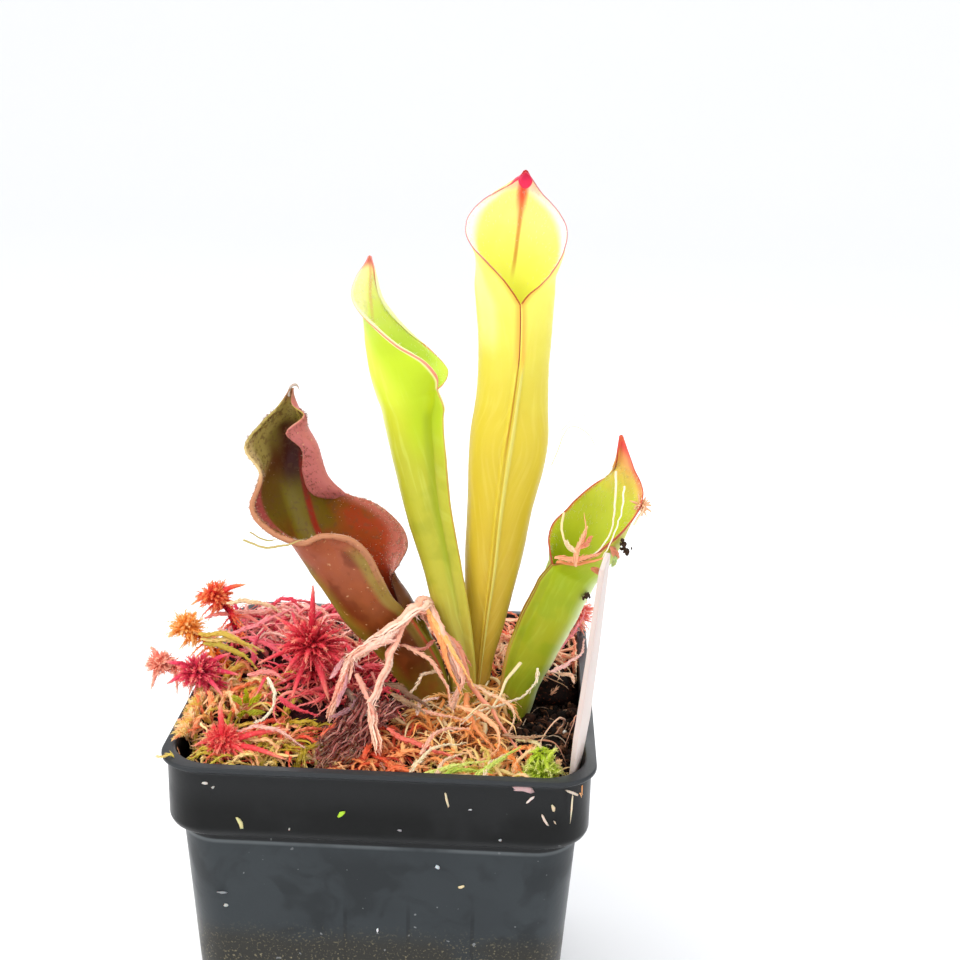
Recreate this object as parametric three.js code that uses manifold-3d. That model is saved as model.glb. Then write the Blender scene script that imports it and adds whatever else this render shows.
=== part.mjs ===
// Potted sun pitcher: four pitcher leaves, live sphagnum and a blank label in a square nursery pot.
// Millimetres, +Z up, origin at the bottom centre of the pot, the front of the pot toward -Y.
import * as THREE from 'three';
import Module from 'manifold-3d';

const wasm = await Module();
wasm.setup();

// Pot
const LIP_HALF = 44.5;          // half the width over the lip
const POT_HEIGHT = 82;
const LIP_THICK = 0.9;
const COLLAR_HALF = 43.5;
const COLLAR_HEIGHT = 16;
const WALL_TOP_HALF = 41.2;     // half width just below the collar
const WALL_BOTTOM_HALF = 37.4;
const CORNER = 9;               // radius of the upright corners
const POT_WALL = 1.4;
const DRAIN_RADIUS = 4;
const DRAIN_AT = 23;

// Peat
const SOIL_TOP = 73.6;
const SEAT = 0.3;               // play left where one piece rests in another
const FINEST = [0.12, 0.1, 0.08, 0.06, 0.05, 0.04, 0.03, 0.02];   // detail dropped after a cut

// Pitchers
const SHELL = 0.9;              // thickness of a pitcher's wall
const COLUMNS = [0, 0.19, 0.38, 0.57, 0.76, 0.91, 0.965, 1];   // fractions of the half turn
const TUBE_ROWS = 9;
const MOUTH_ROWS = 12;
const FLARE_START = 0.25;       // where the wall starts to bend out to its rim
const FLARE_POWER = 1.7;

// Plant label
const LABEL = {
  foot: [38.6, -34.6, 66], half: 6, thick: 1.1, point: 24, length: 60, turn: 76, leanX: 4.3, leanY: 1.1,
};

// Every station of a pitcher is [x, y, z, half width, half depth, opening angle, facing angle].
// The opening angle runs from the back of the section to its edge, 180 where the tube is closed.
const PITCHERS = {
  pitcher_tall: {
    colour: 0xe3cf3e, wing: 1.2, slit: 0.35, closed: 8,
    stations: [
      [18.0, 1.6, 67, 1.5, 1.4, 180, -85], [18.8, 2.5, 84, 2.5, 2.3, 180, -85],
      [19.8, 3.5, 97, 4.3, 4.0, 180, -87], [21.2, 4, 110, 5.8, 5.3, 180, -89],
      [22.5, 4, 124, 6.9, 6.2, 180, -92], [23.9, 4, 138, 8.2, 7.2, 180, -92],
      [24.3, 4, 148, 7.4, 6.6, 180, -86], [24.5, 4, 159, 7.3, 6.7, 180, -80],
      [24.3, 4, 169.6, 8.0, 7.2, 180, -80], [24.1, 4, 176, 9.0, 7.6, 128, -86],
      [24.0, 4.5, 182.5, 9.4, 6.6, 96, -92], [24.3, 5.4, 188.5, 7.8, 5.0, 80, -96],
      [24.9, 6, 193, 3.6, 2.6, 70, -96], [25.6, 5.8, 196.2, 0.5, 0.4, 60, -96],
    ],
    left: [
      [25.5, -3.2, 170], [24.1, -3.3, 172.1], [22.3, -3, 174.3], [20.1, -2, 176.3], [17.6, -1, 178.6],
      [15.4, 0, 180.7], [14, 1, 182.8], [13.6, 2, 184.9], [14.1, 3, 187], [15.7, 4, 189],
      [18.1, 5, 190.9], [21.2, 5.5, 192.6], [23.8, 5.5, 194.3], [25.1, 5.4, 196.1],
    ],
    right: [
      [25.5, -3.2, 170], [26.8, -3.3, 171.8], [28.8, -3, 173.5], [31.2, -2, 175.7], [32.9, -1, 178.1],
      [34, 0, 180.4], [34.6, 1, 183], [34.4, 2, 185.4], [33.1, 3, 187.9], [31.1, 4, 190.2],
      [29.1, 5, 191.9], [27.5, 5.5, 193.8], [26.5, 5.5, 195.2], [26.0, 5.4, 196.1],
    ],
  },
  pitcher_side: {
    colour: 0xc3d83a, wing: 2.0, slit: 1, closed: 7,
    stations: [
      [16.9, -4.4, 67, 1.6, 1.5, 180, -30], [15.1, -3.2, 85, 2.4, 2.3, 180, -30],
      [12.1, -1.8, 99, 2.8, 2.7, 180, -25], [8.9, -0.6, 112, 3.3, 3.1, 180, -20],
      [5.7, 0.4, 125, 4.2, 3.9, 180, -20], [3.7, 1, 136, 4.8, 4.6, 180, -18],
      [2.4, 1, 144, 5.3, 5.3, 180, -15], [1.9, 1, 149.2, 5.9, 6.4, 180, -15],
      [0.2, 1, 155.5, 5.7, 6.6, 138, -20], [-2.6, 1, 162, 4.6, 5.0, 110, -35],
      [-5.6, 0.8, 169, 2.2, 2.6, 95, -65], [-6.2, 0.6, 174.5, 1.2, 1.2, 85, -85],
      [-6.3, 0.2, 178.2, 0.5, 0.4, 80, -90],
    ],
    left: [
      [8.5, -1, 149.6], [8.7, -3, 152.7], [7.9, -5, 155], [6, -6, 157.4], [3.1, -6, 159.2],
      [-0.5, -6, 161.4], [-4.1, -5, 164], [-7, -4, 166.4], [-9.1, -3, 168.9], [-9.6, -3, 171.2],
      [-8.8, -2, 173.8], [-7.5, -1, 176.2], [-6.7, 0, 178.1],
    ],
    right: [
      [8.5, -1, 149.6], [9.5, 1, 150.7], [10.1, 4, 152], [10, 6, 153.6], [8.4, 6.5, 155.6],
      [5.5, 6.5, 158.2], [2, 6, 160.9], [-0.9, 5, 163.8], [-3.2, 4, 166.6], [-4.6, 3, 169.5],
      [-5.3, 2, 172.6], [-5.6, 1, 175.5], [-5.7, 0, 178.1],
    ],
  },
  pitcher_old: {
    colour: 0x9c4a2e, wing: 1.3, slit: 1, closed: 4,
    stations: [
      [11.4, -2.6, 67, 2.2, 2.3, 180, -35], [8.2, -3, 80.5, 3.9, 4.5, 180, -35],
      [4.6, -3.6, 88.5, 5.0, 6.0, 180, -35], [0.4, -4, 95.5, 6.0, 6.8, 180, -35],
      [-2.8, -4.2, 100, 6.8, 7.6, 180, -35], [-7.6, -4.2, 106.5, 7.4, 7.8, 148, -42],
      [-12.6, -4, 113, 8.0, 7.8, 130, -55], [-17.5, -3, 120, 8.2, 8.2, 120, -70],
      [-21.4, -2, 128, 7.4, 7.4, 118, -88], [-23.2, -1.5, 136, 5.8, 6.0, 118, -102],
      [-23.8, -2, 142.5, 3.6, 3.8, 100, -108], [-22.8, -3, 149.8, 0.5, 0.5, 90, -108],
    ],
    left: [
      [3.6, -9, 102.5], [0.5, -11, 106], [-2.2, -12.5, 111.3], [-5.2, -13, 117.1], [-9.2, -13, 120.3],
      [-14.7, -13, 120.7], [-19.4, -13, 119], [-26.4, -11, 120.7], [-30.3, -9, 125.1], [-28.9, -6, 131.6],
      [-32, -6, 137.5], [-29, -4, 142.4], [-25.4, -3.5, 146.2], [-22.7, -3.2, 150.3],
    ],
    right: [
      [3.6, -9, 102.5], [1.2, -5, 104.8], [-0.6, -2, 107.9], [0.7, 0, 111], [2, 2, 114.5],
      [-0.2, 4, 118.5], [-6.2, 5, 122.6], [-13.3, 5, 123.5], [-18.9, 2, 125.4], [-20.6, 0, 130.8],
      [-20.4, -2, 136.4], [-23.5, -4, 140.6], [-19.9, -3, 144.2], [-21.8, -3.2, 150.3],
    ],
  },
  pitcher_small: {
    colour: 0xa7b02a, wing: 1.6, slit: 1, closed: 5,
    stations: [
      [25.9, 0.6, 67, 2.6, 2.5, 180, -140], [28.2, 1, 82, 4.3, 3.8, 180, -145],
      [31.0, 1.5, 90, 5.2, 4.6, 180, -150], [34.2, 2, 98, 5.8, 5.2, 180, -152],
      [37.0, 2, 104, 5.6, 5.2, 180, -155], [39.3, 2, 109.6, 5.6, 5.6, 180, -155],
      [41.8, 2.3, 115.5, 6.4, 6.6, 138, -150], [44.4, 2.6, 121.5, 6.4, 6.0, 112, -138],
      [46.8, 2.6, 128, 4.4, 4.0, 95, -122], [48.0, 2.3, 135, 1.6, 1.8, 85, -110],
      [48.2, 1.4, 141.2, 0.5, 0.4, 80, -100],
    ],
    left: [
      [34.3, -0.5, 112.9], [33.7, 1, 115.2], [33.6, 3, 117.1], [34.6, 5, 119.8], [37.5, 7, 122.3],
      [40.9, 7, 126.2], [44.1, 7, 128.9], [46.3, 6, 130.9], [47.5, 5, 132.8], [47.7, 3, 135.5],
      [47.7, 2, 138.3], [47.7, 1.2, 141],
    ],
    right: [
      [34.3, -0.5, 112.9], [36.3, -4, 114], [39.5, -5, 114.4], [42.7, -6, 116], [45.8, -6, 118.6],
      [49.3, -5, 121.7], [52, -4, 125.3], [53.2, -2.5, 128.5], [52.9, -1, 131], [51.4, 0, 134.2],
      [50.0, 1, 137.7], [48.7, 1.2, 141],
    ],
  },
};

// Sphagnum heads: centre, arm length, number of seeded arms, stem foot and the arms seen on their own.
const HEADS = {
  moss_head_star: {
    colour: 0xb8283f, at: [-17.6, -10, 94], reach: 8.5, arms: 22, foot: [-18, -8],
    longArms: [
      [[-17.2, -10, 108.5], 1.3], [[-12.9, -17, 84.5], 1.3], [[-29, -14, 91], 0.9],
      [[-21.2, -18, 84], 1.0], [[-26.4, -6, 99], 0.8], [[-9.2, -12, 91], 1.0],
    ],
  },
  moss_head_back: {
    colour: 0xe2574a, at: [-44.6, 15, 94.5], reach: 4.8, arms: 14, foot: [-37, 15],
    longArms: [[[-37.2, 15, 98], 1.1], [[-50.2, 15, 92.4], 0.8]],
  },
  moss_head_left: {
    colour: 0xf0a04c, at: [-49, 5, 90.6], reach: 4.4, arms: 14, foot: [-38, 6], longArms: [],
  },
  moss_head_crimson: {
    colour: 0xc93350, at: [-42.8, -10, 86.4], reach: 5.6, arms: 13, foot: [-37, -9],
    longArms: [
      [[-50.6, -9, 88.4], 1.0], [[-49.6, -12, 84.4], 1.0], [[-36, -9, 91], 1.1],
      [[-33.5, -11, 86.8], 1.0], [[-36.2, -16, 84], 0.9],
    ],
  },
  moss_head_front: {
    colour: 0xd23a52, at: [-32.6, -33, 81.5], reach: 5.0, arms: 12, foot: [-32, -32],
    longArms: [
      [[-33, -33, 91], 1.1], [[-39, -33, 80.6], 0.9], [[-19, -30, 84], 1.0],
      [[-18.4, -37, 80.5], 1.0], [[-27, -36.5, 81], 0.9],
    ],
  },
  moss_head_pink: {
    colour: 0xf0a090, at: [-52.6, -5, 85.6], reach: 3.6, arms: 10, foot: [-38, -2],
    longArms: [[[-54.6, -7, 80.5], 0.8], [[-55, -4, 89.5], 0.8]],
  },
  moss_head_lime: {
    colour: 0xb9cf3c, at: [33.4, -36.4, 79.6], reach: 4.6, arms: 13, foot: [32, -34],
    longArms: [[[36, -37, 86], 0.9]],
  },
  moss_head_rear: {
    colour: 0xe0607a, at: [41.4, 33, 86.4], reach: 5.4, arms: 13, foot: [38, 33], longArms: [],
  },
};

// Mats: a seed point for each patch of the pot, how high it stands and its loose strands.
const MATS = {
  moss_mat_rear_left: { colour: 0xec7d86, seed: [-28, 24], top: 86, strands: 23, reach: 16, rise: 5 },
  moss_mat_left: { colour: 0xe9a57c, seed: [-37, -12], top: 83, strands: 13, reach: 12, rise: 4 },
  moss_mat_front_left: { colour: 0xb7b33c, seed: [-24, -29], top: 81, strands: 15, reach: 14, rise: 4 },
  moss_mat_front: { colour: 0xa8452f, seed: [-1, -31], top: 80.4, strands: 15, reach: 13, rise: 3.5 },
  moss_mat_front_right: { colour: 0xd9b06a, seed: [20, -36], top: 80, strands: 14, reach: 13, rise: 3 },
  moss_mat_centre: { colour: 0xf0a169, seed: [15, -14], top: 81.4, strands: 16, reach: 12, rise: 4.5 },
  moss_mat_middle: { colour: 0xdf4f5f, seed: [-15, -4], top: 85, strands: 16, reach: 13, rise: 4 },
  moss_mat_rear: { colour: 0xee8b90, seed: [4, 28], top: 83.6, strands: 14, reach: 13, rise: 4 },
  moss_mat_rear_right: { colour: 0xe77a86, seed: [32, 25], top: 82.6, strands: 12, reach: 13, rise: 4 },
};
const CORE_DROP = 3.4;          // how far a mat's core stays below the tops of its strands
const SPAN = LIP_HALF - 4;      // how far out from the middle a mat's strands may lie
const BARE_SEED = [38, -14];    // the patch of open peat
const BARE = [31, -24, 40, 1];  // where its crumbs lie, from the front left to the rear right
const CRUMBS = 16;

const STRAND_DEAD = {
  colour: 0xeab08e,
  runs: [
    [[8.6, 0.6, 97], [7, -5, 103], [4.8, -11.6, 103.6], [0.4, -14.6, 100.6], [-4.4, -16.4, 97.4], [-9.4, -17.6, 94]],
    [[2.4, -13.4, 102], [0.2, -17.5, 95], [-2.7, -23.5, 86.5], [-0.2, -33.6, 81.8]],
    [[7, -6, 103.6], [10.6, -11, 99], [15.4, -14.2, 90], [13.4, -17.2, 84]],
    [[-8.4, -17.2, 95], [-10.2, -20, 89], [-12, -24, 83.4]],
  ],
  radius: [1.9, 1.3, 1.3, 0.9],
};
const FLUFF_DEAD = {
  colour: 0xa5706f,
  runs: [
    [[-3.5, -21.5, 88], [-6.6, -27, 83.5], [-9.4, -33, 81.6], [-11.6, -38.6, 80.4]],
    [[-7, -19, 87], [-8.4, -25, 83.6], [-13, -32, 81.2]],
    [[0.4, -20.4, 86], [-3.6, -27.4, 82.6], [-6.6, -35.6, 80.8]],
    [[3.8, -18.4, 86.4], [-1.4, -24.4, 83.8], [-7.4, -29.4, 82]],
  ],
  radius: [1.6, 1.1, 1.2, 1.2],
};

// Small helpers

function random(seed) {
  let state = seed >>> 0;
  return () => {
    state = (state + 0x6d2b79f5) >>> 0;
    let t = Math.imul(state ^ (state >>> 15), 1 | state);
    t = (t + Math.imul(t ^ (t >>> 7), 61 | t)) ^ t;
    return ((t ^ (t >>> 14)) >>> 0) / 4294967296;
  };
}

const clamp = (value, low, high) => Math.min(Math.max(value, low), high);
const smooth = (value) => { const t = clamp(value, 0, 1); return t * t * (3 - 2 * t); };
const vector = (p) => new THREE.Vector3(p[0], p[1], p[2]);

// A curve through every row of numbers, at row number t.
function through(rows, t) {
  const last = rows.length - 1;
  const i = clamp(Math.floor(t), 0, last - 1);
  const f = t - i;
  const before = rows[i - 1] ?? rows[0].map((v, k) => 2 * v - rows[1][k]);
  const after = rows[i + 2] ?? rows[last].map((v, k) => 2 * v - rows[last - 1][k]);
  return rows[i].map((p1, k) => {
    const [p0, p2, p3] = [before[k], rows[i + 1][k], after[k]];
    return 0.5 * (2 * p1 + (p2 - p0) * f + (2 * p0 - 5 * p1 + 4 * p2 - p3) * f * f
      + (3 * p1 - p0 - 3 * p2 + p3) * f ** 3);
  });
}

// A solid from points and triangles; the triangles are turned over if they face inward.
function solid(points, triangles) {
  let volume = 0;
  for (const [a, b, c] of triangles) {
    volume += vector(points[a]).dot(vector(points[b]).cross(vector(points[c])));
  }
  const facing = volume < 0 ? triangles.map(([a, b, c]) => [a, c, b]) : triangles;
  return new wasm.Manifold(new wasm.Mesh({
    numProp: 3,
    vertProperties: new Float32Array(points.flat()),
    triVerts: new Uint32Array(facing.flat()),
  }));
}

// A solid from a stack of closed loops with the same number of points, capped at both ends.
function loft(loops, firstCentre, lastCentre) {
  const n = loops[0].length;
  const points = [...loops.flat(), firstCentre, lastCentre];
  const first = points.length - 2;
  const triangles = [];
  for (let k = 0; k < n; k++) {
    const next = (k + 1) % n;
    triangles.push([first, k, next]);
    for (let i = 0; i < loops.length - 1; i++) {
      const [a, b, c, d] = [i * n + k, i * n + next, (i + 1) * n + next, (i + 1) * n + k];
      triangles.push([a, d, c], [a, c, b]);
    }
    const top = (loops.length - 1) * n;
    triangles.push([first + 1, top + next, top + k]);
  }
  return solid(points, triangles);
}

const union = (bodies) => wasm.Manifold.union(bodies);

// Whether every edge of a body joins two triangles once its points are rounded to a micron.
function sound(body) {
  const { vertProperties, triVerts } = body.getMesh();
  const key = (i) => [0, 1, 2].map((k) => Math.round(vertProperties[3 * i + k] * 1000)).join();
  const edges = new Map();
  for (let i = 0; i < triVerts.length; i += 3) {
    const corners = [0, 1, 2].map((k) => key(triVerts[i + k]));
    if (new Set(corners).size < 3) continue;
    corners.forEach((a, k) => {
      const edge = [a, corners[(k + 1) % 3]].sort().join('|');
      edges.set(edge, (edges.get(edge) ?? 0) + 1);
    });
  }
  return [...edges.values()].every((count) => count === 2);
}

// The biggest part that a cut left, simplified as far as its surface stays sound.
function largest(body) {
  for (const finest of FINEST) {
    const parts = body.asOriginal().simplify(finest).decompose();
    const best = parts.reduce((a, b) => (b.volume() > a.volume() ? b : a));
    if (sound(best)) return best;
  }
  return null;
}

// Pot, peat and label

function roundedSquare(half, radius, z) {
  const loop = [];
  const steps = 4;
  for (let corner = 0; corner < 4; corner++) {
    const sx = corner === 0 || corner === 3 ? 1 : -1;
    const sy = corner < 2 ? 1 : -1;
    for (let k = 0; k <= steps; k++) {
      const angle = (corner + k / steps) * (Math.PI / 2);
      loop.push([sx * (half - radius) + radius * Math.cos(angle),
        sy * (half - radius) + radius * Math.sin(angle), z]);
    }
  }
  return loop;
}

// The inside of the pot from the floor up, drawn in by a given play.
function potInside(play) {
  const collarFoot = POT_HEIGHT - COLLAR_HEIGHT;
  return [
    [WALL_BOTTOM_HALF - POT_WALL - play, POT_WALL + play],
    [WALL_TOP_HALF - POT_WALL - play, collarFoot + 0.4],
    [COLLAR_HALF - POT_WALL - play, collarFoot + 2.4],
  ];
}

function potBody(grow) {
  const collarFoot = POT_HEIGHT - COLLAR_HEIGHT;
  const outside = [
    [WALL_BOTTOM_HALF - 1, -grow], [WALL_BOTTOM_HALF, 1], [WALL_TOP_HALF, collarFoot - 0.8],
    [COLLAR_HALF - 0.5, collarFoot + 0.3], [COLLAR_HALF, collarFoot + 1.6],
    [COLLAR_HALF, POT_HEIGHT - LIP_THICK - 0.7], [LIP_HALF, POT_HEIGHT - LIP_THICK],
    [LIP_HALF, POT_HEIGHT + grow],
  ].map(([half, z]) => roundedSquare(half + grow, CORNER, z));
  const inside = [[COLLAR_HALF - POT_WALL - grow, POT_HEIGHT + grow], ...potInside(grow).reverse()]
    .map(([half, z]) => roundedSquare(half, CORNER - 1, z));
  let body = loft([...outside, ...inside], [0, 0, -grow], [0, 0, POT_WALL + grow]);
  if (grow > 0) return body;
  for (const [sx, sy] of [[1, 1], [-1, 1], [-1, -1], [1, -1]]) {
    const ring = (z) => Array.from({ length: 16 }, (_, k) => [
      sx * DRAIN_AT + DRAIN_RADIUS * Math.cos((k * Math.PI) / 8),
      sy * DRAIN_AT + DRAIN_RADIUS * Math.sin((k * Math.PI) / 8), z]);
    const plug = loft([ring(-1), ring(POT_WALL + 1)],
      [sx * DRAIN_AT, sy * DRAIN_AT, -1], [sx * DRAIN_AT, sy * DRAIN_AT, POT_WALL + 1]);
    body = body.subtract(plug);
  }
  return body;
}

// The peat, level on top, with crumbs on the patch that no moss covers.
function soilBody(grow) {
  const rings = [...potInside(grow > 0 ? 0 : SEAT), [COLLAR_HALF - POT_WALL - SEAT, SOIL_TOP + grow]]
    .map(([half, z]) => roundedSquare(half, CORNER - 1, z));
  const block = loft(rings, [0, 0, POT_WALL + SEAT], [0, 0, SOIL_TOP + grow]);
  const rnd = random(7);
  const crumbs = Array.from({ length: CRUMBS }, () => {
    const size = 0.7 + 0.9 * rnd();
    const at = [BARE[0] + (BARE[2] - BARE[0]) * rnd(), BARE[1] + (BARE[3] - BARE[1]) * rnd(), SOIL_TOP];
    return knob(at, [size * 1.3, size, size * 0.8], grow);
  });
  return union([block, ...crumbs]);
}

function labelBody(grow) {
  const { half, length, point, thick } = LABEL;
  const outline = [[0, -grow * 2], [half + grow, point], [half + grow, length - 2],
    [half - 1.5 + grow, length + grow], [-half + 1.5 - grow, length + grow],
    [-half - grow, length - 2], [-half - grow, point]];
  const place = new THREE.Matrix4().makeTranslation(...LABEL.foot)
    .multiply(new THREE.Matrix4().makeRotationY(THREE.MathUtils.degToRad(LABEL.leanX)))
    .multiply(new THREE.Matrix4().makeRotationX(THREE.MathUtils.degToRad(LABEL.leanY)))
    .multiply(new THREE.Matrix4().makeRotationZ(THREE.MathUtils.degToRad(LABEL.turn)));
  const side = (y) => outline.map(([x, z]) => vector([x, y, z]).applyMatrix4(place).toArray());
  const centre = (y) => vector([0, y, length / 2]).applyMatrix4(place).toArray();
  const deep = thick / 2 + grow;
  return loft([side(-deep), side(deep)], centre(-deep), centre(deep));
}

// Pitchers

function section(spec, t) {
  const [x, y, z, a, b, open, face] = through(spec.stations, t);
  const last = spec.stations.length - 1;
  const [ahead, behind] = [t + 0.001, t - 0.001]
    .map((s) => vector(through(spec.stations, clamp(s, 0, last))));
  const along = ahead.sub(behind).normalize();
  const turn = THREE.MathUtils.degToRad(face);
  const facing = new THREE.Vector3(Math.cos(turn), Math.sin(turn), 0);
  facing.addScaledVector(along, -facing.dot(along)).normalize();
  const lateral = new THREE.Vector3().crossVectors(along, facing);
  const half = THREE.MathUtils.degToRad(t <= spec.closed ? 180 : clamp(open, 2, 180));
  const at = (u) => new THREE.Vector3(x, y, z)
    .addScaledVector(lateral, Math.max(a, 0.2) * Math.sin(u * half))
    .addScaledVector(facing, -Math.max(b, 0.2) * Math.cos(u * half));
  return { centre: new THREE.Vector3(x, y, z), facing, at };
}

// The middle of a pitcher's wall: closed sections up to the notch, then open ones that bend out
// to the two measured edges of the mouth.
function sheet(spec) {
  const us = [...COLUMNS.slice(1).reverse().map((u) => -u), ...COLUMNS];
  const last = spec.stations.length - 1;
  const ts = [];
  for (let i = 0; i <= TUBE_ROWS; i++) ts.push((spec.closed * i) / TUBE_ROWS);
  for (let i = 1; i <= MOUTH_ROWS; i++) ts.push(spec.closed + ((last - spec.closed) * i) / MOUTH_ROWS);
  const miss = section(spec, spec.closed).at(1).sub(vector(spec.left[0]));
  const rows = ts.map((t) => {
    const { centre, facing, at } = section(spec, t);
    const m = clamp((t - spec.closed) / (last - spec.closed), 0, 1);
    const shift = ['left', 'right'].map((side, k) => {
      if (m === 0) return new THREE.Vector3();
      const edge = vector(through(spec[side], m * (spec[side].length - 1)));
      edge.addScaledVector(miss, (1 - Math.min(m / 0.25, 1)) ** 2);
      return edge.sub(at(k === 0 ? -1 : 1));
    });
    const points = us.map((u) => {
      const bend = clamp((Math.abs(u) - FLARE_START) / (1 - FLARE_START), 0, 1) ** FLARE_POWER;
      return at(u).addScaledVector(shift[u < 0 ? 0 : 1], bend);
    });
    const wing = spec.wing * smooth(t / 2) * (1 - smooth(t - spec.closed + 1.2));
    return { t, centre, facing, points, wing, closed: t <= spec.closed };
  });
  const columns = us.length - 1;
  rows.forEach((row, i) => {
    const [up, down] = [rows[Math.min(i + 1, rows.length - 1)], rows[Math.max(i - 1, 0)]];
    row.normals = row.points.map((_, j) => {
      const before = j > 0 ? j - 1 : (row.closed ? columns - 1 : 0);
      const after = j < columns ? j + 1 : (row.closed ? 1 : columns);
      const across = row.points[after].clone().sub(row.points[before]);
      const along = up.points[j].clone().sub(down.points[j]);
      return along.cross(across).normalize();
    });
  });
  return { rows, us };
}

// A pitcher as one shell: outside, inside and the edge strips of the mouth, with the wing on its seam.
function pitcherBody(spec, grow) {
  const { rows, us } = sheet(spec);
  const half = SHELL / 2 + grow;
  const columns = us.length - 1;
  const points = [];
  const index = { outer: [], inner: [] };
  rows.forEach((row, i) => {
    for (const [skin, sign] of [['outer', 1], ['inner', -1]]) {
      index[skin][i] = row.points.map((p, j) => {
        if (row.closed && j === columns) return index[skin][i]?.[0] ?? -1;
        const q = p.clone().addScaledVector(row.normals[j], sign * half);
        const edge = Math.abs(us[j]);
        if (skin === 'outer' && edge > 0.95) {
          const seam = edge === 1;
          const rise = row.wing * (seam === (spec.slit < 1) ? Math.min(spec.slit, 0.85) : 1);
          q.addScaledVector(row.facing, rise);
        }
        points.push(q.toArray());
        return points.length - 1;
      });
      if (row.closed) index[skin][i][columns] = index[skin][i][0];
    }
  });
  const triangles = [];
  const top = rows.length - 1;
  for (let i = 0; i < top; i++) {
    for (let j = 0; j < columns; j++) {
      const [o00, o01, o10, o11] = [index.outer[i][j], index.outer[i][j + 1],
        index.outer[i + 1][j], index.outer[i + 1][j + 1]];
      triangles.push([o00, o10, o11], [o00, o11, o01]);
      if (i === 0) continue;
      const [n00, n01, n10, n11] = [index.inner[i][j], index.inner[i][j + 1],
        index.inner[i + 1][j], index.inner[i + 1][j + 1]];
      triangles.push([n00, n11, n10], [n00, n01, n11]);
    }
    if (!rows[i + 1].closed) {
      const [a, b, c, d] = [index.outer[i][0], index.outer[i + 1][0], index.inner[i][0], index.inner[i + 1][0]];
      triangles.push([b, a, c], [b, c, d]);
      const [e, f, g, h] = [index.outer[i][columns], index.outer[i + 1][columns],
        index.inner[i][columns], index.inner[i + 1][columns]];
      triangles.push([e, f, h], [e, h, g]);
    }
  }
  const foot = points.push(rows[0].centre.clone().toArray()) - 1;
  const well = points.push(rows[1].centre.toArray()) - 1;
  for (let j = 0; j < columns; j++) {
    const [o, p, n, q] = [index.outer[top][j], index.outer[top][j + 1], index.inner[top][j], index.inner[top][j + 1]];
    triangles.push([p, o, n], [p, n, q]);
    triangles.push([index.outer[0][j], index.outer[0][j + 1], foot]);
    triangles.push([index.inner[1][j + 1], index.inner[1][j], well]);
  }
  const used = [...new Set(triangles.flat())].sort((a, b) => a - b);
  const renumber = new Map(used.map((old, k) => [old, k]));
  return solid(used.map((k) => points[k]), triangles.map((t) => t.map((k) => renumber.get(k))));
}

// The closed tube of a pitcher filled solid and grown, to cut its place in peat and moss.
function stemCutter(spec) {
  const { rows, us } = sheet(spec);
  const loops = rows.filter((row) => row.closed).map((row) => row.points.slice(0, -1).map((p, j) => {
    const q = p.clone().addScaledVector(row.normals[j], SHELL / 2 + SEAT);
    if (Math.abs(us[j]) > 0.9) q.addScaledVector(row.facing, row.wing * (Math.abs(us[j]) > 0.95 ? 1 : 0.3));
    return q.toArray();
  }));
  const closed = rows.filter((row) => row.closed);
  const foot = closed[0].centre.clone();
  foot.z -= SEAT;
  return loft(loops, foot.toArray(), closed[closed.length - 1].centre.toArray());
}

// Moss

// A tapering strand along points, closed by a flat root and a pointed tip. A grown one has a blunt
// tip, so that it stands clear of the strand all round.
function strand(path, radius, sides, grow) {
  const points = path.map(vector);
  const last = points.length - 1;
  const top = grow > 0 ? last : last - 1;
  const loops = [];
  let side = new THREE.Vector3(0.31, 0.17, 0.93);
  for (let i = 0; i <= top; i++) {
    const along = points[Math.min(i + 1, last)].clone().sub(points[Math.max(i - 1, 0)]).normalize();
    side = side.clone().addScaledVector(along, -side.dot(along)).normalize();
    const other = new THREE.Vector3().crossVectors(along, side);
    const r = (i < last ? radius * (1 - 0.55 * (i / last) ** 2) : 0) + grow / Math.cos(Math.PI / sides);
    loops.push(Array.from({ length: sides }, (_, k) => {
      const angle = (2 * Math.PI * k) / sides;
      return points[i].clone().addScaledVector(side, r * Math.cos(angle))
        .addScaledVector(other, r * Math.sin(angle)).toArray();
    }));
  }
  const tip = points[last].clone()
    .addScaledVector(points[last].clone().sub(points[last - 1]).normalize(), grow * 2);
  const n = sides;
  const flat = [...loops.flat(), tip.toArray()];
  const apex = flat.length - 1;
  const triangles = [];
  for (let k = 0; k < n; k++) {
    const next = (k + 1) % n;
    for (let i = 0; i < top; i++) {
      const [a, b, c, d] = [i * n + k, i * n + next, (i + 1) * n + next, (i + 1) * n + k];
      triangles.push([a, d, c], [a, c, b]);
    }
    triangles.push([top * n + k, apex, top * n + next]);
    if (k > 0 && k < n - 1) triangles.push([0, k, k + 1]);
  }
  return solid(flat, triangles);
}

function knob(centre, radii, grow) {
  const ball = new THREE.IcosahedronGeometry(1, 0);
  const position = ball.getAttribute('position');
  const keys = new Map();
  const points = [];
  const triangles = [];
  for (let i = 0; i < position.count; i++) {
    const p = [position.getX(i), position.getY(i), position.getZ(i)];
    const key = p.map((v) => v.toFixed(4)).join();
    if (!keys.has(key)) {
      keys.set(key, points.length);
      points.push(p.map((v, k) => centre[k] + v * (radii[k] + grow)));
    }
    if (i % 3 === 0) triangles.push([]);
    triangles[triangles.length - 1].push(keys.get(key));
  }
  return solid(points, triangles);
}

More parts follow.
